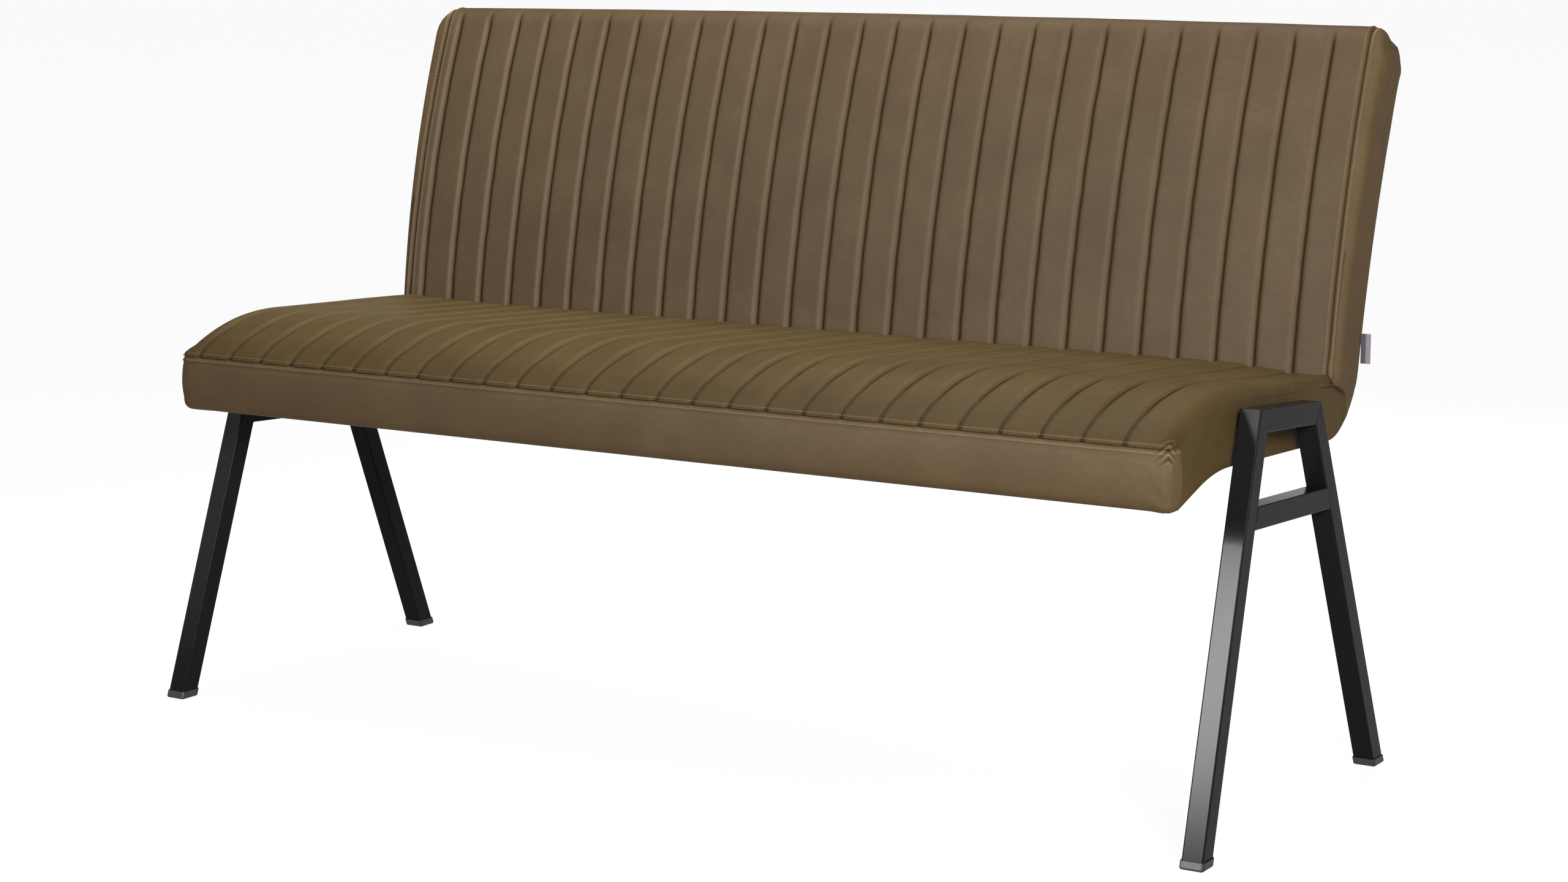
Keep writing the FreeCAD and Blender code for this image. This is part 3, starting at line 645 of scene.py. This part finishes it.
def makeSeatCushion():
    noseTurn = math.radians(bench["noseEnd"] - bench["rollEnd"]) / 2
    rollStop = seatPoint(bench["rollEnd"], 0)
    s, c = sinCos(bench["rollEnd"])
    reach = bench["noseRadius"] * math.tan(noseTurn)
    noseKnee = (rollStop[0] - c * reach, rollStop[1] - s * reach)
    s, c = sinCos(bench["noseEnd"])
    seam = (noseKnee[0] - c * reach, noseKnee[1] - s * reach)
    crease = meet(backPoint(bench["backLean"], 0), leanWay, (bench["crestY"], crestZ), pitchWay)
    rail = bench["railDepth"]
    railEnd = bench["rollEnd"] - seatCushion["railShort"]
    railStop = seatPoint(railEnd, rail)
    railStart = meet(backFoot(-bench["softGap"], crease[1]), leanWay, railLine, pitchWay)
    lipZ = seam[1] - seatCushion["seamDip"]
    corners = [
        (seam[0] + seatCushion["tuck"], lipZ, 0),
        (seam[0] - seatCushion["lipProud"], lipZ, seatCushion["lipRound"]),
        (*noseKnee, bench["noseRadius"]),
        (*seatKnee(0, bench["rollEnd"]), bench["rollRadius"]),
        (crease[0] - bench["softGap"], crease[1], seatCushion["creaseRound"]),
        (*railStart, 0),
        (*seatKnee(rail, railEnd), bench["rollRadius"] - rail),
        (*railStop, 0),
    ]
    path = finer(roundedPath(corners, seatCushion["step"]), Vector(seam), seatCushion["fineRows"])
    lipMark = nearest(path, seam)
    for step in range(seatCushion["blend"]):
        for j in range(lipMark + 1, lipMark + seatCushion["blendRows"]):
            path[j] = (path[j - 1] + path[j + 1]) / 2
    outward = outwardOf(path)
    lengths = runsOf(path)
    run = [max(0.0, length - lengths[lipMark]) for length in lengths]
    creaseMark = nearest(path, crease)
    floorMark = nearest(path, railStart)
    wide = seatCushion["endWide"]
    turned = {round(seatHalf - wide * (1 - sinCos(turn)[0]), 5) for turn in seatCushion["endTurns"]}
    inner = set(channelColumns(-seatHalf + wide, seatHalf - wide))
    columns = sorted(inner | turned | {-x for x in turned})

    def surface(x, j):
        shade = 0.0
        point = path[j].copy()
        if j < floorMark:
            # the rounded ends, tighter at the nose
            nose = 1 - ease(run[j] / seatCushion["noseRun"])
            deep = seatCushion["endDeep"] + (bench["cornerRound"] - seatCushion["endDeep"]) * nose
            reachIn = wide + (bench["cornerRound"] - wide) * nose
            share = max(0.0, (abs(x) - seatHalf + reachIn) / reachIn)
            inset = deep * (1 - math.sqrt(max(0.0, 1 - share * share)))
            # the channels and the full padding between them
            lying = ease((outward[j].y - seatCushion["lyingFrom"]) / seatCushion["lyingSoft"])
            pucker = 1 - ease(run[j] / seatCushion["puckerRun"])
            full = max(seatCushion["rollDepth"], lying, seatCushion["puckerDepth"] * pucker) * (1 - share)
            inset += full * drawIn(stitchOffset(x), channel["depth"], channel["width"])
            inset += ripple(x, run[j]) - seatCushion["full"] * lying - bead(run[j])
            # the right rear has settled a little, and the gathers draw in the front corners
            settled = ease((abs(x) - seatCushion["settleFrom"]) / (seatHalf - seatCushion["settleFrom"]))
            settled *= seatCushion["settleRight"] if x > 0 else seatCushion["settleLeft"]
            inset += settled * ease(path[j].x / seatCushion["settleRun"]) * (1 - share)
            tight = endToEnd(x / seatHalf, gathers["left"], 1.0) * nose
            inset += (gather(cornerRun(x), point.y) + seatCushion["pinch"] * share) * tight
            # the tone, all painted light: painted shade in the stitch lines, the puckers and over the roll,
            # painted highlight beside the lines and on the seam's ridge, painted shade and highlight in the
            # gathers
            line = max(lying, seatCushion["rollLine"], seatCushion["puckerDark"] * pucker) * (1 - share)
            line *= endToEnd(x / seatHalf, seatCushion["lineLeft"], 1.0)
            highlight = endToEnd(x / seatHalf, seatCushion["highlightLeft"], seatCushion["highlightRight"])
            shade = line * shadeAt(stitchOffset(x) / seatCushion["lineWide"], highlight)
            shade += seatCushion["rollShade"] * (1 - lying)
            seamHighlight = endToEnd(x / seatHalf, seatCushion["seamHighlightLeft"], seatCushion["seamHighlight"])
            shade -= seamHighlight * bead(run[j]) / topstitch["ridge"]
            shade += gatherShade(cornerRun(x), point.y) * tight
            if j < lipMark:
                point.x = max(point.x, seam[0] + inset)
            elif j > creaseMark:
                lowest = path[floorMark].y + bench["softGap"]
                point.y = max(lowest, point.y - inset)
            else:
                point -= Vector((outward[j].x, outward[j].y * (1 - nose))) * inset
                point.y = max(point.y, railHeight(point.x) + bench["softGap"])
        return Vector((x + wander(x, run[j]), barFront + point.x, point.y)), shade

    bm = wrapGrid(len(columns), len(path), lambda i, j: surface(columns[i], j))
    row = min(range(lipMark, creaseMark), key=lambda j: abs(run[j] - topstitch["away"]))
    noseSeam["upper"] = lambda x, aside: surface(x, row + (1 if aside else 0))[0]
    piece = newPiece("seatCushion", bm, seatLeather, ["seat_cushion"])


makeSeatCushion()
print("seat cushion done")

# Cloth: firm pads swell a little between their seams.
clothRun = {"pressure": 4.0, "cap": 0.0012, "frames": 20, "still": 1e-9}


def swell(piece, held):
    # inflates a pad as cloth; held(point) tells where the cover is sewn down, and no point moves past the cap
    mesh = piece.data
    group = piece.vertex_groups.new(name="held")
    group.add([vert.index for vert in mesh.vertices if held(vert.co)], 1.0, "REPLACE")
    cloth = piece.modifiers.new("cloth", "CLOTH")
    cloth.settings.use_pressure = True
    cloth.settings.uniform_pressure_force = clothRun["pressure"]
    cloth.settings.vertex_group_mass = "held"
    cloth.settings.effector_weights.gravity = 0
    for step in range(1, clothRun["frames"] + 1):
        scene.frame_set(step)
    swollen = piece.evaluated_get(bpy.context.evaluated_depsgraph_get()).to_mesh()
    for vert, grown in zip(mesh.vertices, swollen.vertices):
        move = grown.co - vert.co
        vert.co += move * min(1.0, clothRun["cap"] / max(move.length, clothRun["still"]))
    piece.modifiers.remove(cloth)
    piece.vertex_groups.clear()
    scene.frame_set(1)


# Nose band: plain padding along the seat's front, turned round both front corners.
noseBand = {
    "bulge": 0.0042, "bottomRound": 0.010, "topRound": 0.003, "seamGap": 0.001, "core": 0.014,
    "lip": 0.0155, "front": 0.003875, "sewn": 0.008, "planStep": 0.02, "fineColumns": [(0.03, 0.0016)],
    "step": 0.005, "fineRows": [(0.022, 0.0016), (0.009, 0.0008)],
}


def makeNoseBand():
    radius = bench["cornerRound"]
    rear = bench["frameFront"]
    plan = roundedPath([
        (-seatHalf, rear, 0),
        (-seatHalf, noseFront, radius),
        (seatHalf, noseFront, radius),
        (seatHalf, rear, 0),
    ], noseBand["planStep"], closed=False)
    for side in (-1, 1):
        plan = finer(plan, Vector((side * seatHalf, noseFront)), noseBand["fineColumns"])
    deep = rear - noseFront
    top = bench["seamZ"] - noseBand["seamGap"]
    section = roundedPath([
        (0.0, top, noseBand["topRound"]),
        (0.0, bench["noseBottom"] - bench["noseLip"] * noseWay[1], noseBand["bottomRound"]),
        (deep, bench["noseBottom"] + (deep - bench["noseLip"]) * noseWay[1], 0),
        (deep, railHeight(rear) - bench["softGap"], 0),
        (noseBand["lip"], top, 0),
    ], noseBand["step"])
    section = finer(section, Vector((0.0, top)), noseBand["fineRows"])

    def surface(outer, j):
        core = seatHalf - noseBand["core"]
        inner = Vector((max(-core, min(core, outer.x)), rear))
        share = section[j].x / deep
        rise = (section[j].y - bench["noseBottom"]) / (top - bench["noseBottom"])
        swelling = noseBand["bulge"] * math.sin(math.pi * max(0.0, min(1.0, rise)))
        away = cornerRun(outer.x) + max(0.0, outer.y - noseFront - radius)
        tight = endToEnd(outer.x / seatHalf, gathers["left"], 1.0)
        swelling -= gather(away, section[j].y) * tight - bead(top - section[j].y)
        swelling -= ripple(outer.x, section[j].y)
        spot = outer.lerp(inner, share)
        out = (outer - inner).normalized() * swelling * (1 - share)
        # painted shade and highlight in the gathers, painted highlight on the seam's ridge
        highlight = endToEnd(outer.x / seatHalf, seatCushion["seamHighlightLeft"], seatCushion["seamHighlight"])
        shade = gatherShade(away, section[j].y) * tight - highlight * bead(top - section[j].y) / topstitch["ridge"]
        shade *= 1 - share
        return Vector((spot.x + out.x, barFront + spot.y + out.y, section[j].y)), shade

    bm = wrapGrid(len(plan), len(section), lambda i, j: surface(plan[i], j))
    front = [j for j in range(len(section)) if section[j].x < noseBand["front"]]
    row = min(front, key=lambda j: abs(top - topstitch["away"] - section[j].y))
    lower = min(front, key=lambda j: abs(top - 2 * topstitch["away"] - section[j].y))
    noseSeam["lower"] = lambda x, aside: surface(Vector((x, noseFront)), lower if aside else row)[0]
    piece = newPiece("noseBand", bm, noseLeather, ["nose_roll"])
    highest = top - noseBand["sewn"]
    rearmost = barFront + rear - noseBand["sewn"]
    swell(piece, lambda point: point.z > highest or point.y > rearmost)


makeNoseBand()
print("nose band done")


def makeNoseThread():
    bm = bmesh.new()
    half = seatHalf - bench["cornerRound"]
    count = round(2 * half / topstitch["pitch"])
    values = [-half + 2 * half * (k + 0.5) / count for k in range(count)]
    for side in ("upper", "lower"):
        threadRow(bm, threadSpots(noseSeam[side], values, topstitch["length"] / 2))
    newPiece("noseThread", bm, waxedThread, [])


makeNoseThread()
print("nose topstitching done")

# Side pads: a section of rounded edges and a flat face, lofted between two curves
sidePad = {
    "turns": [0, 15, 30, 45, 60, 75, 90], "face": [0.2, 0.3, 0.4, 0.5, 0.6, 0.7, 0.8], "tight": 0.19,
    "sewn": 0.02,
}


def loftPad(name, node, material, fore, aft, inner, outerAt, roundAt, dip, folds, settle):
    # a pad between two side curves, with rounded outer edges; folds are rows beside a topstitched inner seam,
    # and settle moves each point of the finished section
    sign = 1 if name.endswith("Right") else -1
    rows = [("inner", 0)] + [("fold", away) for away in folds] + [("fore", turn) for turn in sidePad["turns"]]
    rows += [("face", share) for share in sidePad["face"]]
    rows += [("aft", turn) for turn in reversed(sidePad["turns"])] + [("inner", 1)]

    def place(i, j):
        kind, value = rows[j]
        chord = aft[i] - fore[i]
        width = outerAt(i) - inner
        x = inner
        # painted shade and highlight beside the topstitched inner seam
        shade = 0.0
        if kind == "inner":
            along = chord.length * value + dip(i) * (1 - 2 * value)
            shade = seamShade(0.0) if folds and value == 0 else 0.0
        elif kind == "fold":
            x += value
            sunk = max(0.0, dip(i) * (1 - value / topstitch["away"]))
            along = min(chord.length, sunk - bead(value))
            shade = seamShade(value)
        elif kind == "face":
            x += width
            along = chord.length * value
        else:
            foreRound, aftRound = roundAt(i)
            tight = min(1.0, sidePad["tight"] * chord.length / max(foreRound, aftRound))
            radius = (foreRound if kind == "fore" else aftRound) * tight
            s, c = sinCos(value)
            x += width - radius * (1 - s)
            along = radius * (1 - c)
            if kind == "aft":
                along = chord.length - along
        point = settle(x, fore[i] + chord.normalized() * along)
        return Vector((sign * x, barFront + point.x, point.y)), shade

    bm = wrapGrid(len(fore), len(rows), place)
    piece = newPiece(name, bm, material, [node])
    swell(piece, lambda point: abs(point.x) < inner + sidePad["sewn"])


# The heel: the underside turns up into the back's rear, and a seam parts the seat's end from the border.
heel = {"step": 0.003, "inside": 1e-6}
heelStart = meet(backPoint(bench["backLean"], 0), leanWay, railLine, pitchWay)
heelSlope = math.tan(math.radians(bench["heelSlope"]))
heelSeam = (heelStart[0] + bench["heelRun"], heelStart[1] - bench["heelRun"] * heelSlope)
heelRear = backFoot(bench["thickness"], heelStart[1] - bench["thickness"] * leanWay[0])
endFront = bench["frameFront"] + bench["softGap"]
underside = roundedPath([
    (*nosePoint(endFront, 0), 0),
    (*underKnee(0), bench["underRadius"]),
    (*heelCorner(bench["thickness"], 0), bench["heelRadius"]),
    (*heelRear, 0),
], heel["step"], closed=False)


def undersideAt(y):
    k = next(k for k, point in enumerate(underside) if point.x >= y)
    a, b = underside[k - 1], underside[k]
    return a.lerp(b, (y - a.x) / (b.x - a.x))


def undersideFrom(first, last):
    between = [point for point in underside if first < point.x < last]
    return [undersideAt(first)] + between + [undersideAt(last)]


heelLow = undersideAt(heelSeam[0])
heelLine = roundedPath([
    (*heelLow, 0), (*heelSeam, bench["heelRound"]), (*heelStart, 0),
], heel["step"], closed=False)

# The back's side borders: each runs from the heel seam up the back's edge and over its top corner.
backBorder = {
    "edge": 0.010, "heelSteps": 26, "backSteps": 70, "topTurns": 12, "closing": [0.3, 0.6, 0.8, 0.94],
    "spread": 0.0085, "spreadFrom": 0.65,  # the border grows wider upwards, and is at its plain width here
    "dip": 0.002, "dipSteps": 6, "join": 0.0001, "threadLow": 0.4, "threadProud": 0.0002,
}


def makeBackBorder(word):
    thick = bench["thickness"]
    fore = evenly(heelLine, backBorder["heelSteps"])
    aft = evenly(undersideFrom(heelLow.x, heelRear[0] - heel["inside"]), backBorder["heelSteps"])
    count = backBorder["backSteps"]
    for k in range(count + 1):
        angle = bench["backLean"] + (bench["topAngle"] - bench["backLean"]) * k / count
        fore.append(Vector(backPoint(angle, 0)))
        aft.append(Vector(backPoint(angle, thick)))
    radius = bench["topRound"]
    for k in range(backBorder["topTurns"] + 1):
        s, c = sinCos(90 * k / backBorder["topTurns"])
        run = bench["topRun"] - radius + radius * s
        fore.append(Vector(backPoint(bench["topAngle"], radius * (1 - c), run)))
        aft.append(Vector(backPoint(bench["topAngle"], thick - radius * (1 - c), run)))
    ends = fore[-1], aft[-1]
    middle = (fore[-1] + aft[-1]) / 2
    for share in backBorder["closing"]:
        fore.append(ends[0].lerp(middle, share))
        aft.append(ends[1].lerp(middle, share))

    def outerAt(i):
        rise = (fore[i].y - heelStart[1]) / (fore[-1].y - heelStart[1])
        full = backHalf + backBorder["spread"] * (max(0.0, rise) - backBorder["spreadFrom"])
        return seatHalf + (full - seatHalf) * ease(i / backBorder["heelSteps"])

    def roundAt(i):
        return backBorder["edge"], backBorder["edge"]

    def dipAt(i):
        return backBorder["dip"] * ease((i - backBorder["heelSteps"]) / backBorder["dipSteps"])

    loftPad("backBorder" + word, "back_border_" + word.lower(), noseLeather, fore, aft,
            panelHalf + backBorder["join"], outerAt, roundAt, dipAt, topstitch["folds"], topSettle)


# Seat end panels: flush under the cushion's rounded end, with a soft valley along the heel seam.
seatEnd = {
    "topEdge": 0.0005, "lowEdge": 0.002, "sag": 0.003, "heelEdge": 0.0055, "railSteps": 60,
    "heelSteps": 26, "turnSteps": 8, "join": 0.0008,
}


def makeSeatEnd(word):
    rail = bench["railDepth"]
    reach = bench["rollRadius"] - rail
    angle = math.degrees(math.asin((rollY - endFront) / reach))
    top = roundedPath([
        (*seatPoint(angle, rail), 0), (*seatKnee(rail, angle), reach), (*heelStart, 0),
    ], heel["step"], closed=False)
    fore = evenly(top, seatEnd["railSteps"]) + evenly(heelLine[::-1], seatEnd["heelSteps"])[1:]
    aft = evenly(undersideFrom(endFront + heel["inside"], heelStart[0]), seatEnd["railSteps"])
    aft += evenly(undersideFrom(heelStart[0], heelLow.x), seatEnd["heelSteps"])[1:]
    for i, point in enumerate(aft):
        fade = 1 - ease((i - seatEnd["railSteps"]) / seatEnd["heelSteps"])
        aft[i] = point - Vector((0, seatEnd["sag"] * fade))

    def roundAt(i):
        past = ease((i - seatEnd["railSteps"] + seatEnd["turnSteps"]) / seatEnd["turnSteps"])
        return seatEnd["topEdge"] + (seatEnd["heelEdge"] - seatEnd["topEdge"]) * past, seatEnd["lowEdge"]

    loftPad("seatEnd" + word, "seat_end_pad_" + word.lower(), seatLeather, fore, aft,
            panelHalf + seatEnd["join"], lambda i: seatHalf, roundAt, lambda i: 0.0, [],
            lambda x, point: point)


def makeBorderThread():
    # a row on each side of the seam between the back's front panel and its borders
    bm = bmesh.new()
    low, high = bench["backLean"] + backBorder["threadLow"], bench["topAngle"]
    count = round(math.radians(high - low) * bench["backRadius"] / topstitch["pitch"])
    angles = [low + (high - low) * k / count for k in range(count)]
    proud = topstitch["ridge"] + backBorder["threadProud"]
    for x in (panelHalf - topstitch["away"], panelHalf + topstitch["away"]):
        for side in (-x, x):
            def surface(angle, aside):
                point = topSettle(side, Vector(backPoint(angle, -proud)))
                return Vector((side + aside, barFront + point.x, point.y))
            threadRow(bm, threadSpots(surface, angles, topstitch["length"] / 2))
    newPiece("borderThread", bm, waxedThread, [])


for word in ("Right", "Left"):
    makeSeatEnd(word)
    makeBackBorder(word)
makeBorderThread()
print("side pads done")

# Rear pad: the back's plain rear face, which turns under the heel.
rearPad = {
    "pad": 0.010, "underEnd": 0.2865, "lip": 0.001, "edge": 0.003, "edgeWidth": 0.006, "step": 0.008,
    "folds": [0, 0.0006, 0.002, 0.004, 0.006, 0.012], "flatHalf": 0.68, "flatStep": 0.02,
}


def makeRearPad():
    top = bench["topAngle"]
    depth = bench["thickness"]
    inner = depth - rearPad["pad"]
    end = rearPad["underEnd"]
    corners = [
        (*underPoint(end, 0), 0),
        (*heelCorner(depth, 0), bench["heelRadius"]),
        (*backKnee(depth), bench["backRadius"] - depth),
        (*backPoint(top, depth, 0), 0),
        (*backPoint(top, inner, 0), 0),
        (*backKnee(inner), bench["backRadius"] - inner),
        (*heelCorner(inner, rearPad["lip"]), bench["heelRadius"] - rearPad["pad"]),
        (*underPoint(end, rearPad["lip"]), 0),
    ]
    path = roundedPath(corners, rearPad["step"])
    outward = outwardOf(path)
    columns = [away - panelHalf for away in rearPad["folds"]]
    count = round(2 * rearPad["flatHalf"] / rearPad["flatStep"])
    flat = [rearPad["flatStep"] * k - rearPad["flatHalf"] for k in range(count + 1)]
    columns = columns + flat + [-x for x in reversed(columns)]

    def place(i, j):
        x = columns[i]
        inset = drawIn(panelHalf - abs(x), rearPad["edge"], rearPad["edgeWidth"])
        point = path[j] - outward[j] * inset
        # with painted shade along its sewn edges
        return Vector((x, barFront + point.x, point.y)), shadeAt(panelHalf - abs(x))

    bm = wrapGrid(len(columns), len(path), place)
    piece = newPiece("rearPad", bm, backLeather, ["back_rear_pad"])


makeRearPad()
print("rear pad done")

# Dust cover: one thin cloth stapled under the seat.
dustCover = {"underEnd": 0.2862, "thick": 0.001, "step": 0.02}


def makeDustCover():
    end = dustCover["underEnd"]
    front = bench["frameFront"]
    lift = dustCover["thick"]
    corners = [
        (*nosePoint(front, 0), 0),
        (*underKnee(0), bench["underRadius"]),
        (*underPoint(end, 0), 0),
        (*underPoint(end, lift), 0),
        (*underKnee(lift), bench["underRadius"] + lift),
        (*nosePoint(front, lift), 0),
    ]
    path = roundedPath(corners, dustCover["step"])
    count = round(2 * panelHalf / dustCover["step"])

    def place(i, j):
        return Vector((-panelHalf + 2 * panelHalf * i / count, barFront + path[j].x, path[j].y)), 0.0

    bm = wrapGrid(count + 1, len(path), place)
    piece = newPiece("dustCover", bm, dustCloth, ["dust_cover"])


makeDustCover()
print("dust cover done")

# Camera: at the photograph's viewing angle
view = {"place": (2.1608, -3.3245, 1.0599), "aim": (0.0688, 0.0776, 0.3917), "lens": 73.208, "sensor": 36.0}
lens = bpy.data.cameras.new("camera")
lens.lens = view["lens"]
lens.sensor_width = view["sensor"]
camera = bpy.data.objects.new("camera", lens)
scene.collection.objects.link(camera)
camera.location = Vector(view["place"]) + Vector((0, barFront, 0))
aim = Vector(view["aim"]) + Vector((0, barFront, 0))
camera.rotation_euler = (aim - camera.location).to_track_quat("-Z", "Y").to_euler()
scene.camera = camera

# Stage: a white floor that keeps a faint shadow, white surroundings and soft lights
scene.view_settings.view_transform = "Standard"
studio = {
    "floor": "#b0aeab", "glow": 0.95, "shade": "#585858", "ambient": 0.10, "size": 40.0, "wallRadius": 25.0,
    "wallHeight": 9.0, "wallSteps": 64,
}


def seenRays(material):
    # 1 for rays that should meet plain white: from the camera, a gloss or a clear piece
    ray = addNode(material, "ShaderNodeLightPath").outputs
    seen = ray["Is Camera Ray"]
    for other in (ray["Is Glossy Ray"], ray["Is Transmission Ray"]):
        seen = addNode(material, "ShaderNodeMath", {0: seen, 1: other}, operation="MAXIMUM").outputs[0]
    return seen


def floorMaterial():
    # a white sweep: plain white to the eye, with faint shadows, and a warm grey for the light it throws back
    material = bpy.data.materials.new("pale floor")
    material.use_nodes = True
    nodes = material.node_tree.nodes
    nodes.remove(nodes["Principled BSDF"])
    lit = addNode(material, "ShaderNodeBsdfDiffuse", {"Color": srgb(studio["floor"])}).outputs[0]
    shaded = addNode(material, "ShaderNodeBsdfDiffuse", {"Color": srgb(studio["shade"])}).outputs[0]
    glow = addNode(material, "ShaderNodeEmission", {"Color": (1, 1, 1, 1), "Strength": studio["glow"]})
    white = addNode(material, "ShaderNodeAddShader", {0: shaded, 1: glow.outputs[0]}).outputs[0]
    mixed = addNode(material, "ShaderNodeMixShader", {0: seenRays(material), 1: lit, 2: white})
    material.node_tree.links.new(mixed.outputs[0], nodes["Material Output"].inputs["Surface"])
    return material


def makeFloor():
    # a wide floor with a low wall all round it
    bm = bmesh.new()
    bmesh.ops.create_grid(bm, x_segments=1, y_segments=1, size=studio["size"])
    ring = bmesh.ops.create_circle(bm, segments=studio["wallSteps"], radius=studio["wallRadius"])
    edges = {edge for vert in ring["verts"] for edge in vert.link_edges}
    raised = bmesh.ops.extrude_edge_only(bm, edges=list(edges))["geom"]
    top = [item for item in raised if isinstance(item, bmesh.types.BMVert)]
    bmesh.ops.translate(bm, vec=(0, 0, studio["wallHeight"]), verts=top)
    mesh = bpy.data.meshes.new("floor")
    bm.to_mesh(mesh)
    bm.free()
    floor = bpy.data.objects.new("floor", mesh)
    mesh.materials.append(floorMaterial())
    scene.collection.objects.link(floor)


def makeWorld():
    world = bpy.data.worlds.new("studio")
    scene.world = world
    world.use_nodes = True
    background = world.node_tree.nodes["Background"]
    background.inputs["Color"].default_value = (1, 1, 1, 1)
    background.inputs["Strength"].default_value = studio["ambient"]


# Lights: a key from the right front, cards that only gloss shows, and fills above and behind
lights = {
    "key": {"place": (2.2, -2.25, 1.55), "aimAt": (0.1, 0.1, 0.65), "size": (0.7, 0.7), "power": 74},
    "card": {"place": (-0.13, -2.15, 1.0), "aimAt": (0.74, -0.25, 0.2), "size": (0.2, 0.5), "power": 92,
             "diffuse": False},
    "chip": {"place": (-0.13, -2.15, 1.47), "aimAt": (0.74, -0.25, 0.45), "size": (0.2, 0.1), "power": 11,
             "diffuse": False},
    "leftCard": {"place": (-2.15, -1.75, 0.95), "aimAt": (-0.75, -0.3, 0.25), "size": (0.3, 0.6), "power": 4,
                 "diffuse": False},
    "overhead": {"place": (-0.4, 0.25, 2.4), "aimAt": (-0.05, 0.05, 0.5), "size": (2.4, 0.8), "power": 42},
    "rear": {"place": (-0.3, 2.8, 1.1), "aimAt": (0.0, 0.3, 0.6), "size": (1.6, 0.8), "power": 22,
             "glossy": False},
}


def softbox(name, place, aimAt, size, power, diffuse=True, glossy=True):
    lamp = bpy.data.lights.new(name, "AREA")
    lamp.shape = "RECTANGLE"
    lamp.size, lamp.size_y = size
    lamp.energy = power
    box = bpy.data.objects.new(name, lamp)
    box.location = place
    box.rotation_euler = (Vector(aimAt) - Vector(place)).to_track_quat("-Z", "Y").to_euler()
    box.visible_camera = False
    box.visible_diffuse = diffuse
    box.visible_glossy = glossy
    scene.collection.objects.link(box)


makeFloor()
makeWorld()
for name, light in lights.items():
    softbox(name, **light)
print("stage done")
